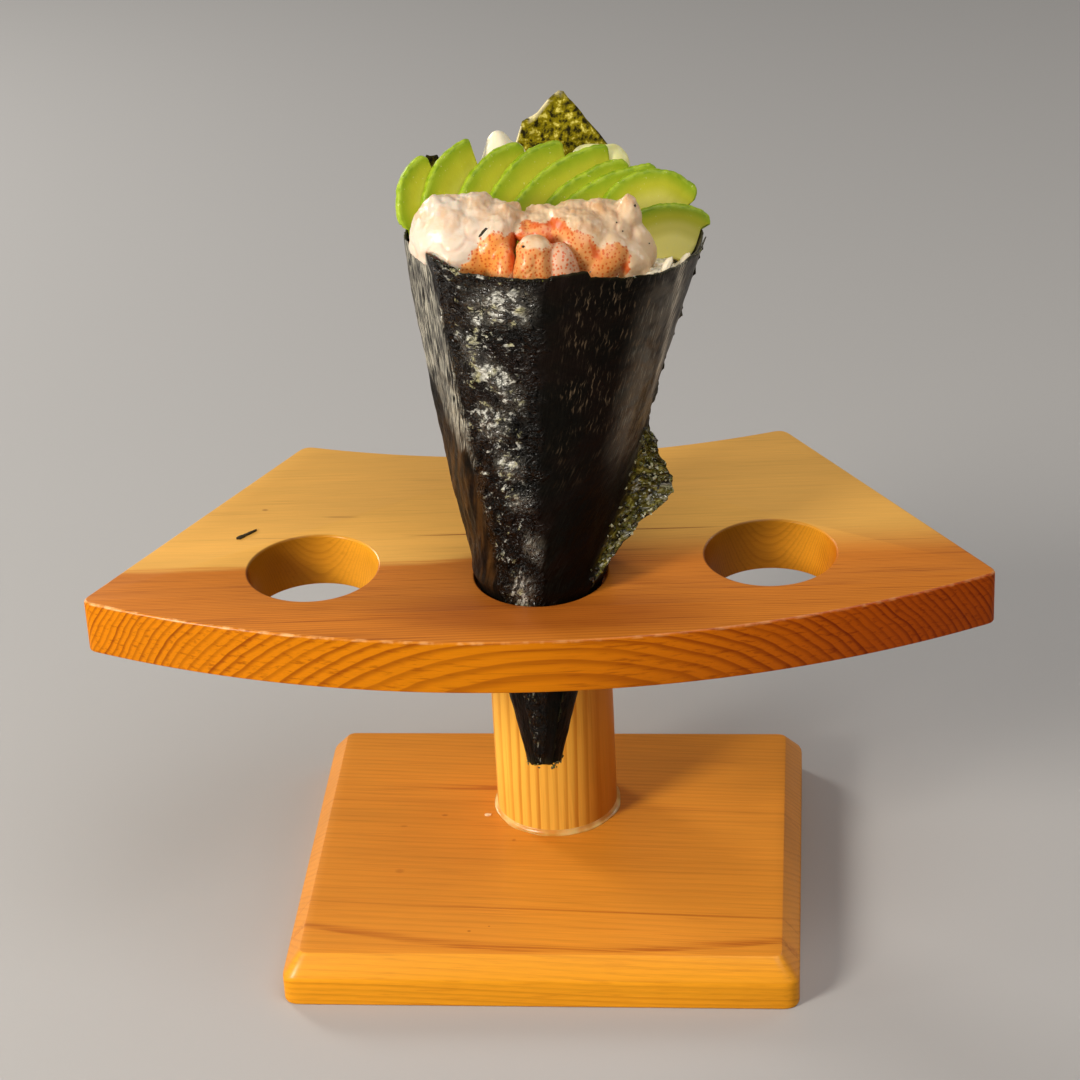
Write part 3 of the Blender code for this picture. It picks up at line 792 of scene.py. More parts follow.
def along(table, value):
    """Reads a column of a short table of (value, result, ...) rows, in between by straight lines."""
    for before, after in zip(table, table[1:]):
        if before[0] <= value <= after[0]:
            share = (value - before[0]) / (after[0] - before[0])
            return [a + (b - a) * share for a, b in zip(before[1:], after[1:])]
    return list(table[0][1:] if value < table[0][0] else table[-1][1:])


def smooth(value, low, high):
    """0 below low, 1 above high and a smooth step between them. Low may be the larger."""
    t = min(max((value - low) / (high - low), 0.0), 1.0)
    return t * t * (3 - 2 * t)


def hill(value, middle, half):
    """1 at the middle, falling smoothly to 0 half away."""
    return 1 - smooth(abs(value - middle), 0, half)


print("mouth's front in mm:", [round(v / MM, 1) for v in ROLL @ on_roll(math.radians(270), MOUTH_Z)])

# %% [markdown]
# The wrapper is one sheet of seaweed that starts at a free edge on the right, runs across the front,
# round the left and back, and ends tucked under its own start. I build it that way, as a grid of points:
# columns run round the cone and rows run up it, and the last stretch sinks half a millimetre, so that the
# free edge stands proud as a real seam. Low down the free edge flares out into a flap; there the first
# columns leave the cone along a curve. Rim heights, the seam's path and the flap's reach are short
# tables, because torn seaweed follows no formula.

# %% Sheet shape
# Angle and height of the rim.
RIM = ((0, 102.0), (12, 102.5), (39, 105.0), (57, 107.0), (67, 109.8), (75, 115), (82, 120.2), (92, 128.2),
       (93.6, 130), (98, 127), (102, 122.9), (107, 121.3), (109.8, 113), (117, 108), (139, 109), (143, 117),
       (150, 118), (154, 109), (160, 106.5), (178, 103.6), (190, 103.6), (203, 102.2), (211, 101.2),
       (222, 104.2), (235, 104.2), (264, 104.5), (281, 105.1), (303, 102.7), (319, 101.3), (345, 101.8),
       (360, 102.0))
# Torn bits that stand up from the rim: the angles where each starts and ends, and its height there.
TONGUES = ((212, 235, 3.6, 0.5), (271, 284.5, 0.5, 2.1))
# Height, the seam's angle there in degrees, and how far the free edge reaches out.
SEAM = ((-60.5, 292, 0), (-20, 302, 0), (0, 314, 0), (2, 315, 0.2), (4.5, 317, 1.0), (8, 320, 2.6),
        (12, 325, 4.6), (17, 330, 7.4), (20.5, 332, 9.4), (23.5, 334, 13.6), (29, 338, 15.0),
        (35.5, 342, 10.0), (38, 344, 6.5), (43, 347, 4.3), (47, 350, 1.2), (51, 352, 0.3), (60, 354, 0),
        (130, 356, 0))
FLAP_DIRECTION = Vector((math.cos(math.radians(15)), math.sin(math.radians(15)), 0))
FREE_COLUMNS, WRAP_COLUMNS, ROWS = 26, 230, 190
FREE_MARGIN = 3 * MM
OVERLAP = math.radians(42)


def rim_height(turn):
    degrees = math.degrees(turn) % 360
    height = along(RIM, degrees)[0]
    for start, end, first, last in TONGUES:
        share = min(max((degrees - start) / (end - start), 0), 1)
        inside = smooth(degrees, start - 0.7, start + 0.7) * smooth(degrees, end + 0.9, end - 0.7)
        height += (first + (last - first) * share) * inside
    spot = Vector((math.cos(turn), math.sin(turn), 0)) * MOUTH_RADIUS
    ragged = 0.45 * bumps(spot, 4 * MM) + 0.5 * bumps(spot, 1.9 * MM, 5)
    return (height + ragged) * MM


def tip_height(turn):
    spot = Vector((math.cos(turn), math.sin(turn), 0)) * TIP_RADIUS
    return TIP_Z + (0.9 * bumps(spot, 3 * MM, 2) + 0.6 * bumps(spot, 1 * MM, 7)) * MM


print("rim between", min(r[1] for r in RIM), "and", max(r[1] for r in RIM), "mm above the plate")

# %% [markdown]
# The sheet doesn't lie smoothly on the cone. Where it was squeezed at the front left it is crumpled,
# which is noise with sharp crests, and a few single folds run across it. The flanks have fine ridges
# along the cone.

# %% Wrinkles and the free edge
# Single folds: height, the angle they are centred on, depth in mm and how many mm they rise per degree.
FOLDS = ((50.8, 252, 1.0, 0.05), (39.7, 257, 1.3, -0.06), (25.4, 250, 0.9, 0.1), (72, 238, 1.1, -0.75),
         (86, 232, 0.7, -0.3))


def squeezed(degrees, z):
    """1 where the sheet is crumpled, at the front left, from the fold to the front's middle."""
    low = 1 - z / MOUTH_Z
    return smooth(degrees, 213 + 15 * low, 220 + 15 * low) * smooth(degrees, 272 + 8 * low, 254 + 8 * low)


def folded(degrees, height):
    """How far the single folds dent the sheet or lift it beside them, in mm."""
    lift = 0.0
    for level, middle, deep, rise in FOLDS:
        line = level + 2.6 * noise.noise(Vector((degrees / 8, level, 0))) + rise * (degrees - middle)
        share = hill(degrees, middle, 24) * (0.7 + 0.6 * noise.noise(Vector((degrees / 5, level, 4))))
        lift -= deep * share * math.exp(-(((height - line) / 1.9) ** 2))
        lift += 0.7 * deep * share * math.exp(-(((height - line - 4.2) / 2.4) ** 2))
    return lift


def wrinkle(turn, z):
    """How far the sheet stands off the smooth cone, in metres."""
    degrees = math.degrees(turn) % 360
    spot = on_roll(turn, z)
    height = z / MM
    crumple = squeezed(degrees, z)
    lift = 0.42 * bumps(spot, 21 * MM, 1)
    crests = 1.5 * (0.75 - abs(bumps(spot, 6.5 * MM, 3))) + 0.8 * (0.75 - abs(bumps(spot, 3.2 * MM, 4)))
    lift += crumple * (crests - 1.2)
    lift += (1 - crumple) * 0.2 * bumps(spot, 4 * MM, 6)
    streak = Vector((spot.x / (1.9 * MM), spot.y / (1.9 * MM), z / (19 * MM)))
    lift += (0.12 + 0.2 * hill(degrees, 200, 26) + 0.2 * hill(degrees, 335, 26)) * noise.noise(streak)
    lift += folded(degrees, height)
    for start, end, _, _ in TONGUES:
        inside = smooth(degrees, start - 0.5, start + 0.5) * smooth(degrees, end + 2, end - 2)
        lift += 0.9 * inside * smooth(height, 99, 104)
    held = smooth(height, 4, 11) + smooth(height, -18, -26)
    return (lift * held + min(lift, 0) * 0.1 * (1 - held)) * MM


def free_edge(share, z, seam, reach):
    """A point in the first columns: share 0 is the torn edge, 1 is back on the cone."""
    height = z / MM
    ragged = 1.1 * noise.noise(Vector((height / 3.1, 1, 0))) + 0.9 * noise.noise(Vector((height / 1.4, 2, 0)))
    reach = max(reach + ragged * min(1.0, 0.35 + reach / 4), 0) * MM
    way = share * (reach + FREE_MARGIN)
    if way >= reach:
        turn = seam - (way - reach) / cone_radius(z)
        curl = 0.35 * MM * smooth(way - reach, FREE_MARGIN, 0)
        return on_roll(turn, z, wrinkle(turn, z) + curl)
    root = on_roll(seam, z, wrinkle(seam, z) + 0.35 * MM)
    tangent = Vector((-math.sin(seam), math.cos(seam), 0))
    t = 1 - way / reach
    bend = root + tangent * reach * 0.42
    point = root * (1 - t) ** 2 + bend * (2 * t * (1 - t)) + (root + FLAP_DIRECTION * reach) * t**2
    crumple = 1.3 * bumps(point, 4.5 * MM, 8) + 1.1 * bumps(point, 2.1 * MM, 9)
    side = Vector((FLAP_DIRECTION.y, -FLAP_DIRECTION.x, 0))
    return point + (side * crumple + Vector((0, 0, 0.7)) * bumps(point, 3 * MM, 10)) * t * MM


print("deepest fold:", max(fold[2] for fold in FOLDS), "mm")

# %% [markdown]
# A row of the grid runs round the sheet at the same share of its height, from the open tip to the rim,
# and a column climbs it at the same angle behind the seam. The first columns belong to the free edge.

# %% Sheet points
def sheet_place(row, column):
    """A point of the sheet in the roll's frame, then its angle, its height, how far round the sheet it is,
    and how far the free edge reaches out there."""
    share = row / (ROWS - 1)
    travel = max(column - FREE_COLUMNS, 0) / (WRAP_COLUMNS - 1) * (math.tau + OVERLAP)
    guess = math.radians(356) - travel
    low, high = tip_height(guess), rim_height(guess)
    z = low + (high - low) * share
    seam_degrees, reach = along(SEAM, z / MM)
    seam = math.radians(seam_degrees)
    if column < FREE_COLUMNS:
        return free_edge(column / FREE_COLUMNS, z, seam, reach), seam, z, travel, reach
    turn = seam - (FREE_MARGIN / cone_radius(z) + travel)
    sunk = -0.6 * MM * smooth(travel, math.radians(292), math.radians(345))
    return on_roll(turn, z, wrinkle(turn, z) + sunk), turn, z, travel, reach


print("points in the sheet:", ROWS * (FREE_COLUMNS + WRAP_COLUMNS))

# %% [markdown]
# Each point also carries a few painted numbers for the finish: how crumpled the sheet is there, how much
# it is part of the streaky facet, where light comes through it, and its place on the flat sheet, so that
# fibres can follow the wrap. Painting at the points is simpler than rebuilding the same places out of
# nodes. Both finishes are on the mesh before Solidify, which then gives its inner side the second one.

# %% Sheet mesh
# Where the crumpled part shines, with painted sheen, painted glints and a stronger gloss: the angle and
# height of a bright band's middle, half its width and height, and how many mm it rises per degree.
SHEENS = ((247, 95.5, 17, 7.5, 0.05), (243, 74, 18, 6.5, -0.53), (242, 58.5, 10, 7, 0),
          (251, 44.5, 10, 5.5, -0.2), (256, 33.3, 9, 4, 0), (264, 18, 9, 6, -0.3), (254, 1, 12, 9, 0))


def sheen_at(degrees, height):
    """1 in the middle of a bright band, falling to 0 at its border."""
    best = 0.0
    for middle, level, wide, tall, rise in SHEENS:
        straight = height - rise * (degrees - middle)
        best = max(best, hill(degrees, middle, wide) ** 0.5 * hill(straight, level, tall) ** 0.5)
    return best


def thin_at(degrees, height):
    """1 where the sheet is thin enough for light: at the tall back corner, and less so at the rim's right."""
    corner = smooth(degrees, 44, 60) * smooth(degrees, 150, 128) * smooth(height, 96, 108)
    return max(corner, 0.7 * hill(degrees, 12, 20) * smooth(height, 94, 99))


def brown_and_reflection_at(degrees, height, right):
    """Two brown patches: low on the facet, a painted reflection of the orange plate, and half way up the
    right flank.
    """
    patch = smooth(degrees, 166, 180) * smooth(degrees, 238, 224)
    return patch * smooth(height, 58, 40) * smooth(height, -2, 8) + 0.4 * right * hill(height, 62, 24)


def sheet_paint(row, column, turn, z, travel, reach):
    """The numbers painted at a point, each by its name."""
    share = row / (ROWS - 1)
    degrees = math.degrees(turn) % 360
    height = z / MM
    near_edge = 1 - min(column / FREE_COLUMNS, 1)
    flap = near_edge * smooth(reach, 0.2, 4)
    low_down = 1 - height / (MOUTH_Z / MM)
    left = smooth(degrees, 168, 184) * smooth(degrees, 218 + 26 * low_down, 211 + 26 * low_down)
    right = smooth(degrees, 300, 322) * smooth(degrees, 366, 354)
    glint = smooth(degrees, 219 + 10 * low_down, 231 + 10 * low_down) * smooth(degrees, 264, 249)
    # sheen, glint, gleam, strokes, left, right and torn say where sheen, glints and highlights are painted.
    return {
        "crumple": squeezed(degrees, z) + flap,
        "glint": glint + flap,
        "sheen": max(sheen_at(degrees, height), 0.55 * flap),
        "torn": smooth(share, 0.990, 0.999) * smooth(degrees, 88, 94) * smooth(degrees, 114, 108),
        "left": left * smooth(height + 0.5 * (degrees - 200), 46, 68),
        "right": right * smooth(height, 30, 56),
        "strokes": smooth(degrees, 268, 284) * smooth(degrees, 344, 330) * smooth(height, 28, 76),
        "brown": brown_and_reflection_at(degrees, height, right),
        "gleam": hill(degrees, 325 + 0.42 * (100 - height), 5.5) * smooth(height, 56, 66),
        "thin": min(1.0, smooth(flap, 0.1, 0.6) + thin_at(degrees, height)),
        "worn": max(smooth(share, 0.994, 1.0), smooth(share, 0.02, 0.0), smooth(near_edge, 0.9, 1.0)),
        "across": (travel - near_edge * 0.3) * 30 * MM,
        "up": z,
    }


def add_sheet(outside, inside):
    columns = FREE_COLUMNS + WRAP_COLUMNS
    points, paints = [], []
    for row in range(ROWS):
        for column in range(columns):
            point, *where = sheet_place(row, column)
            points.append(ROLL @ point)
            paints.append(sheet_paint(row, column, *where))
    painted = {name: [paint[name] for paint in paints] for name in paints[0]}
    faces = [tuple(reversed(face)) for face in grid_faces(ROWS, columns)]
    sheet = new_piece("nori_sheet", points, faces, painted)
    sheet.data.materials.append(outside.material)
    sheet.data.materials.append(inside.material)
    thick = sheet.modifiers.new("thick", "SOLIDIFY")
    thick.thickness = 0.32 * MM
    thick.offset = -1
    thick.material_offset = 1
    return settle(sheet)


# %% [markdown]
# Toasted seaweed is nearly black and glossy, so what shows is its relief. The crumpled part works like
# foil: each cell of a Voronoi pattern rises from its edge in flat slopes, and a slope that faces a light
# flashes. Silvery glints and a grey sheen are painted on its crests as well, in bands that fall to the
# right, as the folds do. Both flanks carry painted sheen, partly a dry bloom, in fine streaks that follow
# the fibres, and the smooth front has short pale strokes, painted highlights. Where the sheet is thin, at
# the flap and the tall back corner, light shows through in painted olive patches.

# %% Seaweed colours
def black_sheet(nori, flat):
    """The plain sheet: nearly black, with a paler weave and brown patches, the low one a painted reflection
    of the plate.
    """
    broad, weave = nori.noise(flat, 60, detail=3.0), nori.noise(flat, 900, detail=4.0, rough=0.65)
    colour = nori.blend(nori.between(broad, 0.42, 0.62), picked(11, 9, 6), picked(20, 12, 8))
    colour = nori.blend(nori.times(nori.between(weave, 0.5, 0.75), 0.4), colour, picked(32, 27, 16))
    patches = nori.noise(nori.stretch(flat, scale=(260, 60, 1)), 1.0, detail=4.0)
    # Low on the facet this brown is a painted reflection of the plate.
    plate_reflection_and_brown = nori.times(nori.painted("brown"), nori.between(patches, 0.4, 0.66))
    return nori.blend(nori.times(plate_reflection_and_brown, 0.6), colour, picked(88, 58, 26))


def flank_bloom_and_sheen(nori, colour, flat, fine, left, wander):
    """Painted sheen with some dry bloom: sharp pale streaks on the facet, and patches, streaks and a painted
    gleam on the right flank.
    """
    uneven = nori.scaled(nori.between(wander, 0.35, 0.6), 0.45, 1)
    streaks = nori.times(nori.between(fine, 0.47, 0.57), uneven)
    # The facet's grey base and pale streaks are painted sheen.
    colour = nori.blend(nori.times(left, nori.scaled(wander, 0.1, 0.7)), colour, picked(30, 28, 22))
    colour = nori.blend(nori.times(nori.times(left, streaks), 0.9), colour, picked(180, 174, 156))
    patchy = nori.noise(nori.stretch(flat, scale=(75, 48, 1)), 1.0, detail=4.0, rough=0.6)
    patchy = nori.between(patchy, 0.44, 0.56)
    # The right flank's pale patches, streaks and gleam are painted sheen.
    right = nori.painted("right")
    colour = nori.blend(nori.times(right, nori.scaled(patchy, 0.15, 0.85)), colour, picked(106, 100, 88))
    pale = nori.times(nori.times(right, nori.between(fine, 0.54, 0.68)), nori.scaled(patchy, 0.35, 0.75))
    colour = nori.blend(pale, colour, picked(176, 166, 144))
    gleam = nori.times(nori.painted("gleam"), nori.scaled(nori.between(fine, 0.44, 0.56), 0.1, 0.9))
    return nori.blend(gleam, colour, picked(214, 204, 182))


def stroke_highlights(nori, colour, flat, wander):
    """Short pale strokes up the smooth front: painted highlights on tiny ridges."""
    drift = nori.node("ShaderNodeTexNoise", {"Vector": flat, "Scale": 320.0}).outputs["Color"]
    short = nori.noise(nori.stretch(nori.blend(0.0015, flat, drift), scale=(1900, 240, 1)), 1.0, detail=4.0)
    strokes = nori.times(nori.between(short, 0.54, 0.70), nori.between(wander, 0.36, 0.62))
    strokes = nori.times(strokes, nori.painted("strokes"))
    return nori.blend(nori.times(strokes, 0.8), colour, picked(124, 104, 80))


def olive_light(nori, colour, flat, inside):
    """Where the sheet is thin, light comes through in olive and yellow patches."""
    patches = nori.noise(nori.stretch(flat, scale=(820, 520, 1)), 1.0, detail=3.0, rough=0.6)
    olive = nori.blend(nori.between(patches, 0.36, 0.56), picked(34, 30, 8), picked(140, 126, 12))
    olive = nori.blend(nori.between(patches, 0.56, 0.66), olive, picked(216, 202, 96))
    return nori.blend(nori.times(nori.painted("thin"), 0.95 if inside else 0.6), colour, olive)


def nori_colour(nori, flat, bent, fine, left, inside):
    """The layers in order: black sheet, painted sheen with dry streaks, stroke highlights, painted sheen on
    the crumpled part, olive places where light comes through, painted silvery glints on the crests.
    """
    wander = nori.noise(flat, 110, detail=2.0)
    colour = flank_bloom_and_sheen(nori, black_sheet(nori, flat), flat, fine, left, wander)
    colour = stroke_highlights(nori, colour, flat, wander)
    # Painted sheen: a grey wash where the crumpled part shines, broken up by lumps.
    sheen = nori.times(nori.painted("sheen"), nori.scaled(nori.between(wander, 0.36, 0.6), 0.45, 1))
    lumps = nori.noise(nori.blend(0.3, flat, bent), 440, detail=4.0, rough=0.66)
    painted_sheen = nori.times(sheen, nori.scaled(nori.between(lumps, 0.4, 0.56), 0.3, 1))
    colour = nori.blend(nori.times(painted_sheen, 0.85), colour, picked(124, 118, 104))
    colour = olive_light(nori, colour, flat, inside)
    # Painted glints: silvery and yellowish flecks on the crests, densest inside the sheen bands.
    bands = nori.noise(nori.stretch(flat, turn=(0, 0, math.radians(35)), scale=(75, 150, 1)), 1.0, detail=2.0)
    crests = nori.plus(nori.plus(lumps, nori.scaled(bands, -0.16, 0.16)), nori.scaled(sheen, -0.055, 0.11))
    crests = nori.times(nori.between(crests, 0.535, 0.63), nori.between(nori.painted("glint"), 0.1, 0.7))
    warm = nori.between(nori.noise(flat, 240), 0.46, 0.62)
    glint_colour = nori.blend(warm, picked(222, 220, 208), picked(190, 184, 138))
    colour = nori.blend(nori.times(crests, 0.8), colour, glint_colour)
    colour = nori.blend(nori.times(nori.painted("worn"), 0.4), colour, picked(50, 48, 26))
    # A painted highlight: a pale line along the torn top edge of the back corner.
    torn = nori.times(nori.painted("torn"), nori.between(nori.noise(flat, 400, detail=2.0), 0.36, 0.5))
    return nori.blend(torn, colour, picked(240, 226, 176))


print("black of the sheet in linear light:", [round(c, 4) for c in picked(11, 9, 6)])

# %% [markdown]
# The relief comes in four layers, each over the one before: broad waves, two sizes of dents on the
# crumpled part, and fine strands along the sheet. Its gloss follows the same numbers: strong on the
# crumpled part, dull elsewhere.

# %% Seaweed finish and sheet
def nori_finish(name, inside=False):
    nori = Finish(name)
    flat = nori.node("ShaderNodeCombineXYZ", {0: nori.painted("across"), 1: nori.painted("up")}).outputs[0]
    drift = nori.node("ShaderNodeTexNoise", {"Vector": flat, "Scale": 260.0, "Detail": 2.0}).outputs["Color"]
    bent = nori.blend(0.006, flat, drift)
    edge = nori.plus(nori.painted("crumple"), nori.scaled(nori.noise(flat, 130, detail=3.0), -0.9, 0.9))
    crumple = nori.between(edge, 0.2, 0.8)
    strands = nori.noise(nori.stretch(flat, scale=(1500, 60, 1)), 1.0, detail=3.0, distort=0.5)
    fine = nori.noise(nori.stretch(flat, scale=(2100, 150, 1)), 1.0, detail=3.0, rough=0.6, distort=0.8)
    patchy = nori.noise(nori.stretch(flat, scale=(150, 70, 1)), 1.0, detail=3.0)
    left = nori.between(nori.plus(nori.painted("left"), nori.scaled(patchy, -0.8, 0.8)), 0.25, 0.75)
    left = nori.times(left, nori.between(nori.painted("left"), 0.0, 0.2))
    nori.set(Base_Color=nori_colour(nori, flat, bent, fine, left, inside))
    normal = nori.bump(nori.noise(flat, 170, detail=2.0), 1.2 * MM, 0.8)
    normal = nori.bump(nori.times(nori.dents(bent, 270), crumple), 3.0 * MM, 1.0, under=normal)
    normal = nori.bump(nori.times(nori.dents(bent, 720), crumple), 1.1 * MM, 1.0, under=normal)
    normal = nori.bump(strands, 0.3 * MM, 0.7, under=normal)
    gloss = nori.scaled(crumple, 0.46, 0.23)
    nori.set(Normal=normal, Roughness=nori.plus(gloss, 0.2 if inside else 0.0))
    left = nori.times(left, nori.scaled(nori.between(fine, 0.42, 0.56), 0.25, 1))
    flanks = nori.times(nori.larger(left, nori.times(nori.painted("right"), 0.5)), 0.45)
    shine = nori.larger(nori.times(crumple, nori.scaled(nori.painted("sheen"), 0.18, 1)), flanks)
    nori.set(Specular_IOR_Level=nori.scaled(shine, 0.05, 0.9))
    return nori


nori_outside = nori_finish("nori_outside")
sheet = add_sheet(nori_outside, nori_finish("nori_inside", inside=True))
dressed(sheet, None, "seaweed", "nori")

# %% [markdown]
# Dry seaweed sheds. Small torn flakes cling to the flap, to its edge and round the open tip, each a thin,
# bent, ragged scrap turned its own way, and it is they that make the flap glitter, helped by a pale colour
# painted on some of them as glints. They are one piece, laid on chosen stretches of the sheet by a seeded
# random choice.

# %% Flakes
FLAP_FLAKES, TIP_FLAKES, RIM_FLAKES = 330, 46, 60  # tries on the flap, and flakes at the tip and the rim


def flake(rng, place, facing, size):
    """A ragged scrap: a ring of points round a raised middle, front and back."""
    count = rng.randint(6, 8)
    turn = facing.to_track_quat("Z", "Y").to_matrix()
    turn = turn @ Euler((rng.gauss(0, 0.6), rng.gauss(0, 0.6), rng.uniform(0, math.tau))).to_matrix()
    ring = []
    for i in range(count):
        angle = math.tau * i / count
        reach = size * rng.uniform(0.55, 1.1) * (1 - 0.35 * math.sin(angle) ** 2)
        ring.append(Vector((reach * math.cos(angle), reach * math.sin(angle), rng.uniform(-0.3, 0.3) * size)))
    lift, middle = Vector((0, 0, 0.09 * MM)), Vector((0, 0, 0.3 * size))
    points = [middle + lift] + [p + lift for p in ring] + [middle - lift] + [p - lift for p in ring]
    faces = []
    for i in range(count):
        j = (i + 1) % count
        faces += [(0, 1 + i, 1 + j), (count + 1, count + 2 + j, count + 2 + i)]
        faces.append((1 + i, count + 2 + i, count + 2 + j, 1 + j))
    return [place + turn @ p for p in points], faces


def flake_spots(rng):
    """Flakes on the flap, round the open tip and along the rim: (place, facing, size, how pale). How pale is
    a painted glint, strongest on the flap.
    """
    spots = []
    side = Vector((FLAP_DIRECTION.y, -FLAP_DIRECTION.x, 0))
    for _ in range(FLAP_FLAKES):
        z = rng.uniform(3, 48) * MM
        degrees, reach = along(SEAM, z / MM)
        if rng.random() * 15 > reach + 1.5:
            continue
        share = abs(rng.gauss(0, 0.35)) % 1
        spot = free_edge(share, z, math.radians(degrees), reach) + side * rng.uniform(0.0, 0.4) * MM
        spots.append((spot, side, rng.uniform(0.35, 0.95) * MM, min(1.0, 0.4 + reach / 12)))
    for _ in range(TIP_FLAKES):
        turn = rng.uniform(0, math.tau)
        spot = on_roll(turn, tip_height(turn) + rng.uniform(-1.2, 1.0) * MM, 0.1 * MM)
        outwards = on_roll(turn, 0) - on_roll(turn, 0, -1 * MM)
        spots.append((spot, outwards, rng.uniform(0.3, 0.8) * MM, 0.1))
    for _ in range(RIM_FLAKES):
        turn = math.radians(rng.choice((rng.uniform(208, 300), rng.uniform(-5, 5) + 340)))
        z = rim_height(turn) - rng.uniform(0, 0.5) * MM
        spot = on_roll(turn, z, wrinkle(turn, 102 * MM))
        spots.append((spot, Vector((0, 0, 1)), rng.uniform(0.2, 0.55) * MM, 0.3))
    return spots


def flake_finish():
    finish = Finish("nori_flakes", Specular_IOR_Level=1.0, Roughness=0.28)
    tone = finish.noise(finish.place, 330, detail=2.0)
    colour = finish.blend(finish.between(tone, 0.38, 0.6), picked(18, 17, 8), picked(104, 102, 24))
    # Pale flakes are painted glints.
    colour = finish.blend(finish.between(finish.painted("pale"), 0.55, 0.95), colour, picked(220, 218, 176))
    finish.set(Base_Color=colour, Normal=finish.bump(finish.noise(finish.place, 1600), 0.15 * MM, 0.6))
    return finish


def add_flakes():
    rng = random.Random(5)
    points, faces, glint_paleness = [], [], []
    for spot, facing, size, pale in flake_spots(rng):
        made, sides = flake(rng, spot, facing, size)
        faces += [tuple(len(points) + i for i in face) for face in sides]
        points += [ROLL @ p for p in made]
        glint_paleness += [pale * rng.random()] * len(made)
    flakes = new_piece("nori_flakes", points, faces, {"pale": glint_paleness})
    return dressed(flakes, flake_finish(), "seaweed", sharp=25)


add_flakes()

# %% [markdown]
# The fillings press against the sheet. So that nothing pokes through it, each filling's points go through
# one helper, which pulls any point that lies beyond the sheet's inside back to it. It works in the roll's
# frame, and the roll's matrix is applied last.

# %% Keep the fillings inside
def held_in(point, clearance):
    """The point, pulled in so that it stays that far inside the sheet wherever the sheet stands beside it."""
    shift = MOUTH_SHIFT * max(point.z, 0) ** 2 / MOUTH_Z**2
    centre = Vector((shift, 0, point.z))
    out = point - centre
    turn = math.atan2(out.y, out.x)
    if point.z > rim_height(turn) + 1 * MM:
        return point
    room = (on_roll(turn, point.z) - centre).length - clearance
    return centre + out * (room / out.length) if out.length > room else point


# %% [markdown]
# Nine slices of avocado fan out behind the shrimp. Each is a crescent with the fruit's outside on its
# rounded back, where peeling leaves small bumps, and a smooth cut face. The slices lean back, and each
# hides the end of the next one's neighbour, so I place them by their forward edges, which stand on a
# shallow curve across the mouth. A slice is swept: the same rounded cross-section is set at each step
# along the arc, and it shrinks at both ends.

# %% Avocado shape
# Each row is the arc's centre across and up, its radius, the angle of the slice's upper end, and how round
# that end's outer corner is.
SLICES = ((-24.4, 108.7, 15.0, 102, 3.0), (-11.1, 104.5, 22.1, 99, 0.8), (0.9, 99.6, 25.3, 90, 3.2),
          (12.5, 96.1, 29.2, 91, 3.0), (25.8, 82.2, 41.8, 90, 2.4), (28.5, 85.5, 34.7, 87, 3.0),
          (34.3, 79.7, 39.5, 84, 3.0), (33.5, 100.3, 17.5, 31, 4.5), (37.4, 88.2, 22.4, 51, 4.0))
SLICE_THICKNESS, SLICE_LENGTH, SLICE_WIDTH = 2.4 * MM, 46 * MM, 15 * MM
SLICE_LEAN, SLICE_TURN = math.radians(18), math.radians(19)
FAN_Y, FAN_DROP, FAN_HALF, FAN_LEVEL = 8 * MM, 4 * MM, 40 * MM, 112 * MM
SLICE_STEPS = 72


def slice_frame(centre_x, centre_z, radius):
    """The arc's centre and the slice plane's directions: along the fan, up the slice, and out of its face."""
    rise = FAN_LEVEL - centre_z
    lead_x = centre_x - math.sqrt(max(radius**2 - rise**2, 0))
    turn = SLICE_TURN - math.atan(2 * FAN_DROP * lead_x / FAN_HALF**2)
    across = Vector((math.cos(turn), math.sin(turn), 0))
    tilt = math.sin(SLICE_LEAN)
    up = Vector((-tilt * across.y, tilt * across.x, math.cos(SLICE_LEAN)))
    lead = Vector((lead_x, FAN_Y - FAN_DROP * (lead_x / FAN_HALF) ** 2, FAN_LEVEL))
    down = up * (-rise / up.z)
    centre = lead + down + across * (centre_x - lead_x - down.x) / across.x
    return centre, across, up, across.cross(up)


def slice_section(width):
    """The rounded cross-section, from the back's middle round: (in from the back, out of the face)."""
    half, ease = SLICE_THICKNESS / 2, 0.9 * MM
    section = []
    for corner_in, start, end in ((ease, 0, 90), (width - ease * 0.6, 90, 180)):
        for step in range(6):
            angle = math.radians(start + (end - start) * step / 5)
            out = half - ease * 0.9 + ease * 0.9 * math.sin(angle)
            section.append((corner_in - ease * math.cos(angle), out))
        if start == 0:
            section += [(width * share, half) for share in (0.12, 0.2, 0.3, 0.42, 0.55, 0.68, 0.8)]
    return section + [(reach, -out) for reach, out in reversed(section)]


print("section points:", len(slice_section(SLICE_WIDTH)))

# %% [markdown]
# At each step of the sweep the section is turned along the arc, thinned and cut back near the two ends,
# and pushed about a little by noise. Each point also carries how deep in the fruit it lies, from 0 at the
# skin, and how much it belongs to the peeled back.

# %% Avocado slice
# How much yellower and paler towards the stone the last two slices are, by their numbers: partly their
# own butter colour, partly painted light that makes them as bright as fully lit slices.
YELLOWER_AND_LIT = {8: 0.9, 9: 2.4}


def slice_step(share, corner):
    """How much thinner the slice is at a step along the arc, and how far its back is cut away there."""
    ends = min(share, 1 - share) * SLICE_LENGTH
    pinch = math.sqrt(max(1 - (1 - min(ends / (0.7 * MM), 1)) ** 2, 0.02))
    rounded = corner - math.sqrt(max(corner**2 - max(corner - ends, 0) ** 2, 0))
    return pinch, rounded


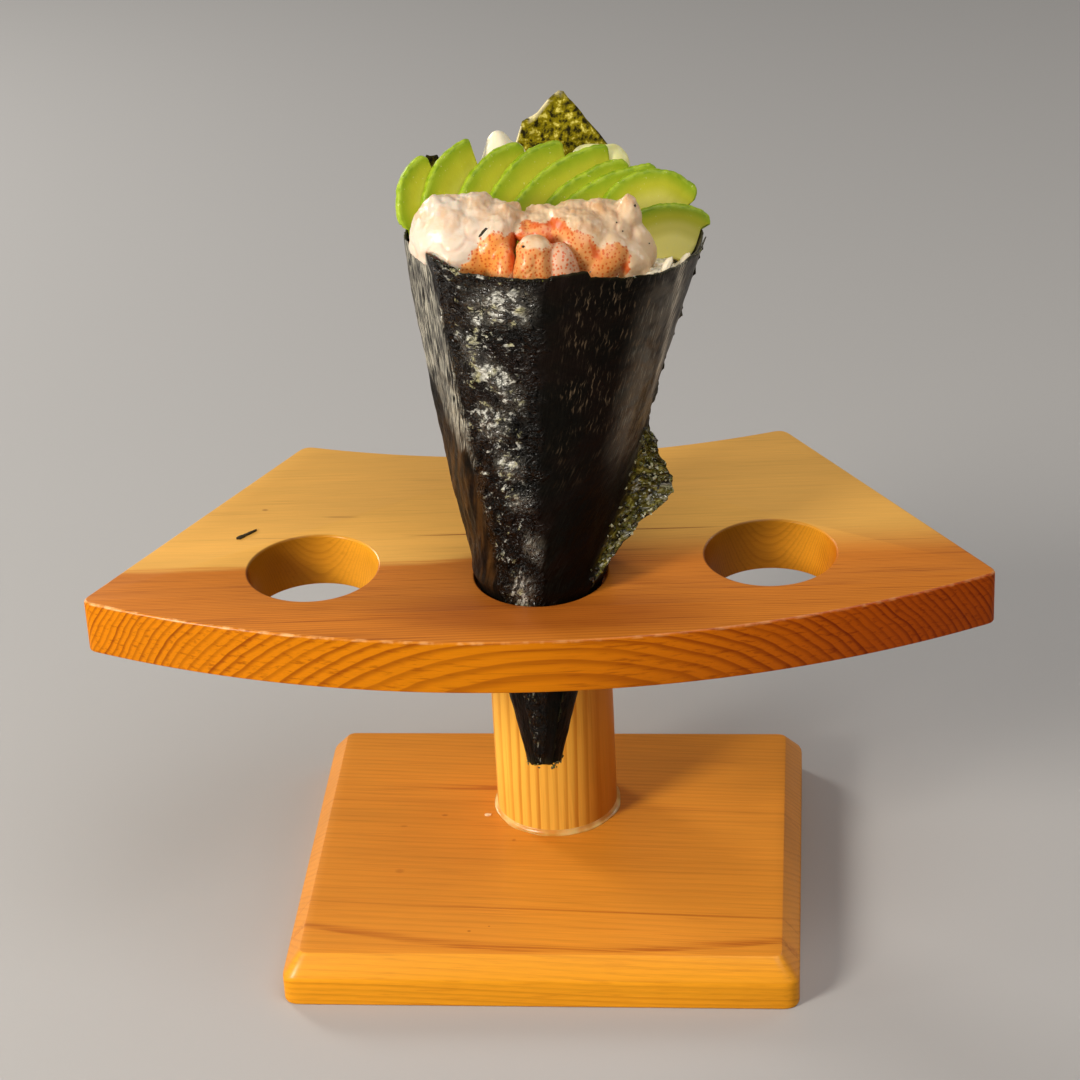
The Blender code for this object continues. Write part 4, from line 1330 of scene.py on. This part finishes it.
def slice_surface(at, out, pinch, skin_side):
    """How far noise moves a point from the arc's middle, and how far out of the face. The back is bumpy."""
    rough = 0.30 * bumps(at + Vector((0, 0, out * 0.6)), 1.5 * MM) + 0.14 * bumps(at, 0.8 * MM)
    reach = 0.35 * MM * bumps(at, 9 * MM) + skin_side * rough * MM
    lift = out * pinch + 0.16 * MM * bumps(at, 6 * MM, 3) + 0.06 * MM * bumps(at, 2 * MM, 4)
    return reach, lift + skin_side * 0.3 * rough * MM


def add_slice(number, row):
    centre_x, centre_z, radius, corner = (row[i] * MM for i in (0, 1, 2, 4))
    width = min(SLICE_WIDTH, radius * 0.85)
    centre, across, up, facing = slice_frame(centre_x, centre_z, radius)
    section = slice_section(width)
    points, depth, back = [], [], []
    for step in range(SLICE_STEPS + 1):
        share = step / SLICE_STEPS
        share += 0.35 * (share - 0.5) * (1 - abs(2 * share - 1))  # steps crowd towards the ends
        pinch, rounded = slice_step(share, corner)
        turn = math.radians(row[3]) + SLICE_LENGTH / radius * share
        for inward, out in section:
            skin_side = smooth(inward, 2.0 * MM, 0.3 * MM)
            inward = rounded + inward * (width - rounded) / width
            inward = width / 2 + (inward - width / 2) * (0.94 + 0.06 * pinch)
            at = Vector((turn * radius, inward, number * 9 * MM))
            uneven, lift = slice_surface(at, out, pinch, skin_side)
            reach = radius - inward + uneven
            flat = across * (reach * math.cos(turn)) + up * (reach * math.sin(turn))
            points.append(ROLL @ held_in(centre + flat + facing * lift, 1.3 * MM))
            # The last two slices get paler towards the stone, partly as painted light.
            depth.append(inward / width * (1 + YELLOWER_AND_LIT.get(number, 0) * inward / width))
            back.append(skin_side)
    count = len(section)
    faces = grid_faces(SLICE_STEPS + 1, count, closed=True)
    faces.append(tuple(reversed(range(count))))
    faces.append(tuple(range(len(points) - count, len(points))))
    return new_piece(f"avocado_{number}", points, faces, {"depth": depth, "back": back})


print("points in a slice:", (SLICE_STEPS + 1) * len(slice_section(SLICE_WIDTH)))

# %% [markdown]
# Avocado flesh is deep green just under the skin and fades to butter yellow at the stone, so the colour
# follows the painted depth, from the back to the belly. The peeled back itself is a paler, bumpy green.
# The flesh is oily: a little light travels through it, and the cut face has a soft sheen.

# %% Avocado finish and slices
def avocado_finish():
    flesh = Finish("avocado_flesh", Specular_IOR_Level=0.35, Subsurface_Weight=0.3, Subsurface_Scale=1.2 * MM)
    flesh.set(Subsurface_Radius=(1.0, 0.9, 0.25))
    depth, back = flesh.painted("depth"), flesh.painted("back")
    mottle = flesh.noise(flesh.place, 420, detail=3.0)
    wander = flesh.plus(depth, flesh.scaled(flesh.noise(flesh.place, 130, detail=3.0), -0.09, 0.09))
    colour = flesh.blend(flesh.between(wander, 0.05, 0.38), picked(148, 172, 10), picked(192, 192, 42))
    colour = flesh.blend(flesh.between(wander, 0.35, 0.9), colour, picked(220, 212, 100))
    colour = flesh.blend(flesh.between(wander, 1.0, 1.7), colour, picked(246, 236, 134))
    skin = flesh.blend(flesh.between(mottle, 0.36, 0.62), picked(132, 160, 10), picked(162, 184, 36))
    colour = flesh.blend(flesh.between(back, 0.25, 0.6), colour, skin)
    grain = flesh.noise(flesh.place, 1100, detail=3.0, rough=0.6)
    freckles = flesh.between(flesh.noise(flesh.place, 1300, detail=1.0), 0.72, 0.78)
    colour = flesh.blend(flesh.times(freckles, 0.5), colour, picked(228, 228, 160))
    flesh.set(Base_Color=colour, Normal=flesh.bump(grain, 0.12 * MM, 0.4))
    flesh.set(Roughness=flesh.scaled(mottle, 0.4, 0.56))
    return flesh


avocado = avocado_finish()
for number, row in enumerate(SLICES, 1):
    dressed(add_slice(number, row), avocado, "avocado", f"avocado_slice_{number}", sharp=60)

# %% [markdown]
# Cooked shrimp, cut in chunks: plump white flesh, with an orange skin on the outer curve that carries
# small red dots. Plump things that grow into each other are easiest as overlapping ellipsoids, melted
# into one skin by a voxel remesh. Each lump is a centre, three half sizes and a lean to the side, in
# millimetres in the roll's frame. After the melt, noise pushes the points in and out: soft swells on the
# flesh and torn fibres along its top.

# %% Lumps
SHRIMP_LEFT = (((-23, -13, 107), (11, 12, 11.5), 0), ((-27, -13.5, 112.2), (5.0, 7, 6.6), 14),
               ((-19.6, -12, 110.6), (6.6, 9, 8.0), 0), ((-15.4, -12, 110.4), (7.4, 10, 8.4), -6),
               ((-28.6, -14, 106), (5.6, 6.6, 7.4), 8), ((-16, -17, 106), (9, 9, 10), 0),
               ((-20, -20, 102.5), (10, 9, 10), 0), ((-12, -18.5, 106), (6.6, 9.5, 10.6), 24),
               ((-9.5, -15, 110), (5.0, 8.5, 7.4), 24), ((-9.2, -13, 113.0), (4.2, 5.5, 4.2), 30),
               ((-5.6, -13, 114.4), (2.2, 3, 2.0), 50), ((-8.8, -26.5, 101), (3.8, 6, 8.4), 6))
SHRIMP_RIGHT = (((8.2, -16, 107.2), (7.0, 9, 8.4), -10), ((12.5, -19, 105.5), (9, 11, 10.5), -30),
                ((17, -22, 102.2), (10, 8.4, 7), -40), ((19, -12, 106.6), (9.6, 12, 9.0), 0),
                ((24.4, -19, 101.8), (5.6, 8.5, 9.4), -36), ((24.4, -12, 110.6), (4.6, 6.5, 5.6), 14),
                ((28.2, -14, 104), (4.0, 7, 7.6), -24), ((23.6, -21, 103.6), (8.4, 6, 3.6), 28),
                ((25.4, -12.5, 114.8), (2.2, 3, 3.0), 20), ((-3.4, -16, 113.2), (3.8, 2.4, 1.5), 26),
                ((11, -12, 110.4), (7.4, 9, 5.6), 0), ((17.6, -12, 111.6), (6, 7, 4.6), 0),
                ((2.4, -11.5, 111.4), (6, 5, 4.0), 0), ((-2.8, -19, 109.9), (5.2, 5, 2.6), 22),
                ((2.2, -17, 109.0), (6.0, 7.4, 5.2), 30), ((2.5, -16, 108), (6, 8, 6), 0))
SHRIMP_CENTRE = (((-2.4, -31, 101.5), (4.0, 5.4, 10.6), 3), ((0.9, -30.6, 101), (3.8, 5.4, 10.4), 0),
                 ((7.0, -29.5, 100.5), (5.0, 5.4, 9.9), -7), ((-0.6, -30, 108.4), (5.0, 4.6, 4.8), -10))
CREAM_LEFT = (((-8.8, 22, 113.6), (5.4, 6.2, 12.0), 0), ((-10.6, 21, 110), (5.4, 6, 8.4), -8),
              ((-5.6, 22, 113.0), (4.6, 5, 9.6), 10))
CREAM_RIGHT = (((16.5, 24, 109), (7.4, 6.5, 11.6), 0), ((22.5, 23, 108.6), (6.6, 6, 12.4), 0),
               ((19.5, 23.5, 112), (7, 6, 8.6), 0))


def melted(name, lumps, voxel, rounds):
    """Overlapping ellipsoids as one closed skin, still in the roll's frame."""
    shape = bmesh.new()
    for centre, half, lean in lumps:
        made = bmesh.ops.create_icosphere(shape, subdivisions=4, radius=1.0)["verts"]
        turn = Matrix.Rotation(math.radians(lean), 3, "Y")
        for vert in made:
            vert.co = (turn @ Vector([c * h for c, h in zip(vert.co, half)]) + Vector(centre)) * MM
    mesh = bpy.data.meshes.new(name)
    shape.to_mesh(mesh)
    shape.free()
    piece = bpy.data.objects.new(name, mesh)
    bpy.context.scene.collection.objects.link(piece)
    melt = piece.modifiers.new("melt", "REMESH")
    melt.mode = "VOXEL"
    melt.voxel_size = voxel
    soften = piece.modifiers.new("soften", "SMOOTH")
    soften.factor = 0.5
    soften.iterations = rounds
    return settle(piece)


def pushed(piece, push, clearance):
    """Moves each point along its normal by push(point), keeps it in the sheet, and puts the piece in place.
    Returns where the points were."""
    spots = [(vert.co.copy(), vert.normal.copy()) for vert in piece.data.vertices]
    for vert, (spot, normal) in zip(piece.data.vertices, spots):
        vert.co = ROLL @ held_in(spot + normal * push(spot), clearance)
    piece.data.update()
    return [spot for spot, _ in spots]


print("lumps:", len(SHRIMP_LEFT) + len(SHRIMP_RIGHT) + len(SHRIMP_CENTRE))

# %% [markdown]
# The melted lumps are still too smooth. Ovals say where the skin lies, and other functions give the
# swells, the grooves between the bundles of muscle and the torn fibres. The same ones paint the colours
# later, so that relief and colour agree.

# %% Shrimp surface
# Ovals seen from the front, in mm: centre across and up, half sizes, lean. They say where the skin lies, and
# where it is redder.
SKIN = ((-12.2, 104.4, 5.2, 8.2, 22), (-16.0, 101.6, 5.6, 3.6, 0), (-7.0, 107.0, 3.6, 4.6, 16),
        (-3.4, 108.4, 3.8, 2.4, 20), (0.8, 110.2, 5.2, 2.8, 10), (6.2, 108.6, 5.6, 5.4, -14),
        (11.6, 104.8, 6.6, 8.6, -36), (19.5, 102.0, 7.2, 4.8, -62))
REDDER = ((-5.2, 108.6, 2.0, 5.0, 10), (2.6, 113.2, 6.6, 1.1, 4), (-1.8, 109.2, 4.4, 1.5, -24),
          (24.6, 102.2, 1.8, 1.4, 0), (13.5, 98.6, 5.0, 1.2, 0), (4.2, 108.0, 1.5, 3.6, -20),
          (15.6, 107.4, 1.0, 3.0, -30))


def inside_ovals(ovals, spot, soft):
    """How far a point lies inside any of the ovals, from 0 to 1."""
    best = 0.0
    for across, up, half_x, half_z, lean in ovals:
        x, z = spot.x / MM - across, spot.z / MM - up
        turn = math.radians(lean)
        x, z = x * math.cos(turn) - z * math.sin(turn), x * math.sin(turn) + z * math.cos(turn)
        best = max(best, smooth(math.hypot(x / half_x, z / half_z), 1 + soft, 1 - soft))
    return best


def crease(spot):
    """1 in the narrow grooves between the bundles of the muscle, 0 on them."""
    bend = Vector((bumps(spot, 7 * MM, 11), bumps(spot, 7 * MM, 12), bumps(spot, 7 * MM, 13))) * 2.4 * MM
    groove = max(0.0, 1 - abs(bumps(spot + bend, 9 * MM, 9)) / 0.08)
    return groove * smooth(bumps(spot, 8 * MM, 14), -0.2, 0.2)


def shrimp_push(spot):
    """Soft swells all over, torn fibres along the top, and grooves. The skin is smoother than the flesh."""
    skin = inside_ovals(SKIN, spot, 0.12)
    torn = smooth(spot.z / MM - 0.12 * abs(spot.x / MM - 4), 108, 113) * (1 - skin)
    swell = 0.7 * bumps(spot, 9 * MM) + 0.26 * bumps(spot, 3.4 * MM, 2) + 0.09 * bumps(spot, 1.3 * MM, 3)
    fibre = Vector((spot.x / (0.9 * MM), spot.y / (2.2 * MM), spot.z / (3.2 * MM)))
    swell += torn * (0.5 * bumps(spot, 2.6 * MM, 4) + 0.25 * noise.noise(fibre))
    return (swell * (1 - 0.5 * skin) - 0.3 * crease(spot) * (1 - 0.8 * skin)) * MM


print("skin ovals:", len(SKIN), "and redder ones:", len(REDDER))

# %% [markdown]
# The meat's finish has three parts: white flesh that is tanned in patches, orange skin where the painted
# number says so, and the red dots on it. Painted shade makes flesh and skin warmer and duller towards the
# right. Light goes a little way into shrimp, which softens everything.

# %% Shrimp finish
def shrimp_dots(meat):
    """Small round dots, about 1.2 mm apart. A flat pattern is laid on from the front, the side and above, and
    each place uses the one that it faces, so that no dot is stretched."""
    facing = meat.node("ShaderNodeNewGeometry").outputs["Normal"]
    facing = meat.node("ShaderNodeVectorMath", {0: facing}, operation="ABSOLUTE").outputs[0]
    side, ahead, above = meat.node("ShaderNodeSeparateXYZ", {0: facing}).outputs
    side_on = meat.math("GREATER_THAN", side, meat.larger(ahead, above))
    from_above = meat.math("GREATER_THAN", above, meat.larger(ahead, side))
    drift = meat.node("ShaderNodeTexNoise", {"Vector": meat.place, "Scale": 300.0}).outputs["Color"]
    bend = meat.blend(0.0006, meat.place, drift)
    x, y, z = meat.node("ShaderNodeSeparateXYZ", {0: bend}).outputs
    across = meat.plus(x, meat.times(side_on, meat.minus(y, x)))
    up = meat.plus(z, meat.times(from_above, meat.minus(y, z)))
    plane = meat.node("ShaderNodeCombineXYZ", {0: across, 1: up}).outputs[0]
    values = {"Vector": plane, "Scale": 860.0, "Randomness": 0.75}
    cells = meat.node("ShaderNodeTexVoronoi", values, voronoi_dimensions="2D")
    chance = meat.node("ShaderNodeSeparateColor", {0: cells.outputs["Color"]}).outputs[0]
    away = meat.minus(cells.outputs["Distance"], meat.scaled(chance, 0.14, 0.29))
    return meat.between(away, 0.08, -0.05)


def flesh_colour(meat, right_shade):
    """White flesh, tanned in patches towards the top and pink in its grooves, and warmer and darker towards
    the right in painted shade.
    """
    top = meat.scaled(meat.painted("top"), -0.04, 0.12)
    tan = meat.plus(meat.noise(meat.place, 190, detail=4.0, rough=0.6), top)
    tanned = meat.blend(right_shade, picked(228, 192, 152), picked(214, 168, 120))
    flesh = meat.blend(right_shade, picked(232, 214, 192), picked(232, 200, 160))
    flesh = meat.blend(meat.between(tan, 0.52, 0.80), flesh, tanned)
    return meat.blend(meat.times(meat.painted("crease"), 0.3), flesh, picked(222, 160, 122))


def peel_colour(meat, right_shade):
    """The orange skin, paler or redder in places, and duller towards the right in painted shade."""
    warm = meat.noise(meat.place, 90, detail=2.0)
    peel = meat.blend(meat.between(warm, 0.35, 0.65), picked(248, 190, 124), picked(244, 156, 60))
    peel = meat.blend(meat.times(right_shade, 0.8), peel, picked(228, 154, 88))
    peel = meat.blend(meat.times(meat.painted("pale"), 0.8), peel, picked(222, 180, 150))
    return meat.blend(meat.times(meat.painted("redder"), 0.8), peel, picked(216, 86, 26))


def shrimp_finish():
    meat = Finish("shrimp_meat", Specular_IOR_Level=0.45, Subsurface_Weight=0.5, Subsurface_Scale=1.6 * MM)
    meat.set(Subsurface_Radius=(1.0, 0.6, 0.4), Coat_Weight=0.15, Coat_Roughness=0.15)
    skin = meat.painted("skin")
    # Painted shade: towards the right the flesh gets warmer and darker and the skin duller.
    right_shade = meat.between(meat.axis(meat.place, "X"), -14 * MM, 10 * MM)
    flesh, peel = flesh_colour(meat, right_shade), peel_colour(meat, right_shade)
    colour = meat.blend(meat.between(skin, 0.25, 0.75), flesh, peel)
    dots = meat.times(shrimp_dots(meat), meat.between(skin, 0.05, 0.3))
    colour = meat.blend(meat.times(dots, 0.85), colour, picked(214, 92, 8))
    wet = meat.noise(meat.place, 420, detail=4.0)
    meat.set(Base_Color=colour, Normal=meat.bump(wet, 0.45 * MM, 0.5), Roughness=meat.scaled(wet, 0.28, 0.5))
    return meat


shrimp = shrimp_finish()
print("nodes in the shrimp's finish:", len(shrimp.tree.nodes))

# %% [markdown]
# The three chunks are then melted, pushed and painted. The borders of skin and tan are painted at places
# that noise has shaken, so that they come out ragged.

# %% Shrimp chunks
def shaken(spot):
    """A point moved a little by noise, so that a border drawn there is ragged."""
    return spot + Vector((bumps(spot, 2.2 * MM, 6), 0, bumps(spot, 2.2 * MM, 7))) * 1.1 * MM


def add_shrimp(name, lumps, node, skin_of, redder=REDDER, pale_of=lambda spot: 0.0):
    piece = melted(name, lumps, 0.45 * MM, 10)
    spots = pushed(piece, shrimp_push, 1.1 * MM)
    ragged = [shaken(spot) for spot in spots]
    add_numbers(piece.data, "skin", [skin_of(spot) for spot in ragged])
    add_numbers(piece.data, "redder", [inside_ovals(redder, spot, 0.4) for spot in ragged])
    add_numbers(piece.data, "crease", [crease(spot) for spot in spots])
    add_numbers(piece.data, "top", [smooth(spot.z / MM, 107, 115) for spot in ragged])
    add_numbers(piece.data, "pale", [pale_of(spot) for spot in ragged])
    return dressed(piece, shrimp, "shrimp", node)


def skin_of_sides(spot):
    """The two large chunks have skin inside the ovals."""
    return inside_ovals(SKIN, spot, 0.16)


def skin_of_centre(spot):
    """The front chunks have skin all over, up to just below their tops."""
    x, z = spot.x / MM, spot.z / MM
    return smooth(z + 0.3 * x, 112, 109) if x < 3.4 else smooth(z, 111.5, 109.5)


add_shrimp("shrimp_chunk_left", SHRIMP_LEFT, "shrimp_left", skin_of_sides)
add_shrimp("shrimp_chunk_right", SHRIMP_RIGHT, "shrimp_right", skin_of_sides)
add_shrimp("shrimp_chunk_centre", SHRIMP_CENTRE, "shrimp_centre", skin_of_centre, redder=(),
           pale_of=lambda spot: smooth(spot.x / MM, 2.6, 5.0))

# %% [markdown]
# Cream cheese is spooned on cold, so it keeps soft edges and faint ridges where the spoon left it. It is
# the same melt of lumps, with gentler noise and a matt, slightly warm white that lets light in.

# %% Cream cheese
def cream_push(spot):
    """Soft swells, and ridges where the spoon left it."""
    ridge = 1 - abs(bumps(spot, 6.5 * MM, 5))
    return (0.6 * bumps(spot, 5 * MM, 1) + 0.8 * (ridge - 0.8) + 0.12 * bumps(spot, 1.6 * MM, 2)) * MM


def add_cream(name, lumps, node):
    piece = melted(name, lumps, 0.6 * MM, 6)
    pushed(piece, cream_push, 1.3 * MM)
    return dressed(piece, cream, "cream", node)


cream = Finish("cream_cheese", Roughness=0.42, Subsurface_Weight=0.5, Subsurface_Scale=2.5 * MM)
cream.set(Subsurface_Radius=(1.0, 0.85, 0.6))
pores = cream.noise(cream.place, 500, detail=3.0)
right_side = cream.between(cream.axis(cream.place, "X"), 0, 10 * MM)
tone = cream.blend(cream.noise(cream.place, 120), picked(240, 232, 208), picked(232, 222, 190))
cream.set(Base_Color=cream.blend(right_side, tone, picked(244, 238, 166)))
cream.set(Normal=cream.bump(pores, 0.2 * MM, 0.3))
add_cream("cream_left", CREAM_LEFT, "cream_cheese_left")
add_cream("cream_right", CREAM_RIGHT, "cream_cheese_right")

# %% [markdown]
# The rice is a heap of separate grains. Filling the whole cone with grains would be wasted, since only
# the top shows, so a core a little smaller than the solid carries one layer and a half of real grains
# over its open top. The core is the solid's own mesh, shrunk along its normals. Grains are laid where the
# core faces up and no other food lies on it, which a search tree over the other solids answers. Each
# grain is a slightly bent, plump spindle, and they are joined into one piece.

# %% Rice
GRAIN_LENGTH, GRAIN_WIDTH = 5.6 * MM, 2.7 * MM
GRAIN_RINGS, GRAIN_AROUND = 7, 8
GRAIN_FACES = grid_faces(GRAIN_RINGS, GRAIN_AROUND, closed=True)
GRAINS = 620


def add_core():
    core = bpy.data.objects.new("rice_core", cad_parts["rice"].data.copy())
    bpy.context.scene.collection.objects.link(core)
    weld = core.modifiers.new("weld", "WELD")
    weld.merge_threshold = 0.01 * MM
    shrink = core.modifiers.new("shrink", "DISPLACE")
    shrink.strength = -1.5 * MM
    shrink.mid_level = 0
    return settle(core)


def open_tops(core):
    """Triangles of the core that face up near the mouth, with a running total of their areas."""
    core.data.calc_loop_triangles()
    up = ROLL.to_3x3() @ Vector((0, 0, 1))
    tops, total = [], 0.0
    level = (ROLL @ Vector((0, 0, 84 * MM))).z
    for triangle in core.data.loop_triangles:
        corners = [core.data.vertices[i].co for i in triangle.vertices]
        if triangle.normal.dot(up) > 0.25 and sum(c.z for c in corners) / 3 > level:
            total += triangle.area
            tops.append((total, corners, triangle.normal.copy()))
    return tops, total


core = add_core()
print("open top of the core in cm2:", round(open_tops(core)[1] * 1e4, 1))

# %% [markdown]
# A grain is a slightly bent, plump spindle. The random places are equally dense all over the open top: a
# random share of the whole area picks the triangle, and two more random numbers pick the place on it.

# %% Rice grains
def grain_points(place, turn, size):
    """One grain: a plump spindle of rings with a slight bend, turned and put in place."""
    points = []
    for ring in range(GRAIN_RINGS):
        t = ring / (GRAIN_RINGS - 1) * 2 - 1
        swell = math.sqrt(max(1 - t * t, 0)) * (1 - 0.12 * t)
        for step in range(GRAIN_AROUND):
            angle = math.tau * step / GRAIN_AROUND
            spot = Vector((t * GRAIN_LENGTH / 2, swell * math.cos(angle) * GRAIN_WIDTH / 2,
                           swell * math.sin(angle) * GRAIN_WIDTH * 0.44 - 0.25 * MM * t * t))
            points.append(place + turn @ (spot * size))
    return points


def other_food():
    """Search trees over the solids of everything that isn't rice."""
    trees = []
    for name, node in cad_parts.items():
        if name.startswith(("avocado", "shrimp", "cream")):
            shape = bmesh.new()
            shape.from_mesh(node.data)
            trees.append(bvhtree.BVHTree.FromBMesh(shape))
            shape.free()
    return trees


def random_spot(rng, tops, total):
    """A place just over the core, equally likely anywhere on its open top, and the way it faces."""
    goal = rng.random() * total
    _, corners, normal = next(row for row in tops if row[0] >= goal)
    u, v = rng.random(), rng.random()
    if u + v > 1:
        u, v = 1 - u, 1 - v
    spot = corners[0] + (corners[1] - corners[0]) * u + (corners[2] - corners[0]) * v
    return spot + normal * rng.uniform(0.2, 1.7) * MM, normal


def add_grains(core, finish):
    rng = random.Random(11)
    tops, total = open_tops(core)
    others = other_food()
    grains = []
    for _ in range(GRAINS * 3):
        spot, normal = random_spot(rng, tops, total)
        blocked = any(tree.find_nearest(spot, 1.5 * MM)[0] is not None for tree in others)
        local = ROLL.inverted() @ spot
        kept = held_in(local, 2.2 * MM)
        if blocked or (kept - local).length > 0.5 * MM:
            continue
        lean = Euler((rng.uniform(-0.5, 0.5), rng.uniform(-0.5, 0.5), rng.uniform(0, math.tau))).to_matrix()
        turn = normal.to_track_quat("Z", "Y").to_matrix() @ lean
        grains.append((grain_points(ROLL @ kept, turn, rng.uniform(0.86, 1.08)), GRAIN_FACES))
        if len(grains) == GRAINS:
            break
    print("grains laid:", len(grains))
    return dressed(joined("rice_grains", grains), finish, "rice", "rice")


rice = Finish("cooked_rice", Roughness=0.3, Subsurface_Weight=0.5, Subsurface_Scale=1.2 * MM)
rice.set(Subsurface_Radius=(1.0, 0.9, 0.7), Coat_Weight=0.3, Coat_Roughness=0.2)
rice.set(Base_Color=rice.blend(rice.noise(rice.place, 300), picked(240, 230, 206), picked(226, 212, 180)))
rice.set(Normal=rice.bump(rice.noise(rice.place, 900, detail=2.0), 0.1 * MM, 0.3))
dressed(core, rice, "rice")
add_grains(core, rice)

# %% [markdown]
# Last come the small things that make a used stand and a hand-made roll: flecks of seaweed on the shrimp,
# a few grains of rice at the rim, crumbs of seaweed on the plate and a drop of dried glue by the post.
# For a fleck on uneven food I send a line from the front, down at the slope of the view, and put the
# fleck where the line meets the surface; a search tree over the finished piece answers where that is.

# %% Scraps of seaweed
SCRAP_CORNERS = 12


def tree_of(name):
    """A search tree over a finished piece."""
    return bvhtree.BVHTree.FromObject(bpy.data.objects[name], bpy.context.evaluated_depsgraph_get())


def met(tree, x, z):
    """Where a line from the front meets the food. It passes x and z, in mm in the roll's frame, 18 mm before
    the axis."""
    ray = Vector((0, 0.91, -0.414))
    start = Vector((x, -18, z)) * MM - ray * 60 * MM
    spot, normal, _, _ = tree.ray_cast(ROLL @ start, ROLL.to_3x3() @ ray)
    return spot, normal


def scrap(rng, place, facing, direction, long, wide):
    """A thin ragged scrap that lies along a direction: points and faces."""
    count = SCRAP_CORNERS
    side = facing.cross(direction).normalized()
    along_it = side.cross(facing).normalized()
    ring = []
    for i in range(count):
        angle = math.tau * i / count
        reach = rng.uniform(0.75, 1.15)
        flat = (along_it * math.cos(angle) * long + side * math.sin(angle) * wide) * reach
        ring.append(place + flat + facing * rng.uniform(0.25, 0.55) * MM)
    points = [place + facing * 0.55 * MM] + ring + [point - facing * 0.5 * MM for point in ring]
    faces = []
    for i in range(count):
        j = (i + 1) % count
        faces += [(0, 1 + i, 1 + j), (1 + i, 1 + count + i, 1 + count + j, 1 + j)]
    faces.append(tuple(reversed(range(count + 1, 2 * count + 1))))
    return points, faces


# On which shrimp, where across and up, which way it lies, half length and half width in mm.
SCRAPS = (("left", -13.9, 109.2, (0.5, 0, 1), 1.7, 0.5), ("right", 27.2, 116.6, (1, 0, 0.3), 0.45, 0.35),
          ("centre", -3.3, 103.9, (1, 0, 0), 0.4, 0.35), ("right", 22.0, 111.4, (1, 0, 0), 0.25, 0.2),
          ("right", 23.6, 108.8, (1, 0, 0), 0.22, 0.2), ("right", 30.8, 105.4, (1, 0, 0), 0.2, 0.18))
# X, Y, half length and half width in mm of the crumbs on the plate.
CRUMBS = ((-87.6, -4.2, 1.5, 0.9), (-85.9, -2.4, 1.9, 0.6), (-84.4, -0.8, 1.2, 0.5))


def add_scraps():
    rng = random.Random(3)
    trees = {side: tree_of("shrimp_chunk_" + side) for side in ("left", "right", "centre")}
    parts = []
    for side, x, z, way, long, wide in SCRAPS:
        spot, normal = met(trees[side], x, z)
        if spot is not None:
            direction = ROLL.to_3x3() @ Vector(way)
            parts.append(scrap(rng, spot - normal * 0.25 * MM, normal, direction, long * MM, wide * MM))
    for x, y, long, wide in CRUMBS:
        spot = Vector((x * MM, y * MM, PLATE_TOP + 0.05 * MM))
        parts.append(scrap(rng, spot, Vector((0, 0, 1)), Vector((1, 1, 0)), long * MM, wide * MM))
    dark = Finish("seaweed_scrap", Roughness=0.5, Specular_IOR_Level=0.3)
    dark.set(Base_Color=dark.blend(dark.noise(dark.place, 700), picked(24, 20, 8), picked(62, 50, 22)))
    return dressed(joined("nori_scraps", parts), dark, "seaweed", sharp=30)


add_scraps()

# %% [markdown]
# The drop of glue is one such scrap in another colour. The loose grains of rice are made like the ones in
# the heap, but each is listed one by one.

# %% Glue drop and loose rice
def add_glue_drop():
    place = Vector((-21.4 * MM, 12.4 * MM, BASE_HEIGHT + 0.02 * MM))
    part = scrap(random.Random(8), place, Vector((0, 0, 1)), Vector((1, 0.1, 0)), 1.3 * MM, 0.6 * MM)
    glue = Finish("glue_drop", Base_Color=picked(252, 222, 176), Roughness=0.3)
    return dressed(joined("glue_drop", [part]), glue, "pine", sharp=30)


# In the roll's frame: X, Y and Z in mm, which way the grain points, and its size.
RIM_GRAINS = ((35.4, -23.6, 101.0, (0.5, 0.2, 1), 1.0), (40.6, -15.6, 99.6, (0.7, 0.3, 1), 0.9),
              (30.8, -26.6, 99.8, (1, 0.4, 0.1), 0.6), (-28.3, 23.8, 111.8, (0.56, 0.83, 0.5), 0.7))


def add_rim_rice():
    """Two grains that stand up at the right of the rim, a small one before them, and one at the back."""
    parts = []
    for x, y, z, way, size in RIM_GRAINS:
        turn = (ROLL.to_3x3() @ Vector(way)).to_track_quat("X", "Z").to_matrix()
        parts.append((grain_points(ROLL @ (Vector((x, y, z)) * MM), turn, size), GRAIN_FACES))
    return dressed(joined("rim_rice", parts), rice, "rice", sharp=30)


add_glue_drop()
add_rim_rice()
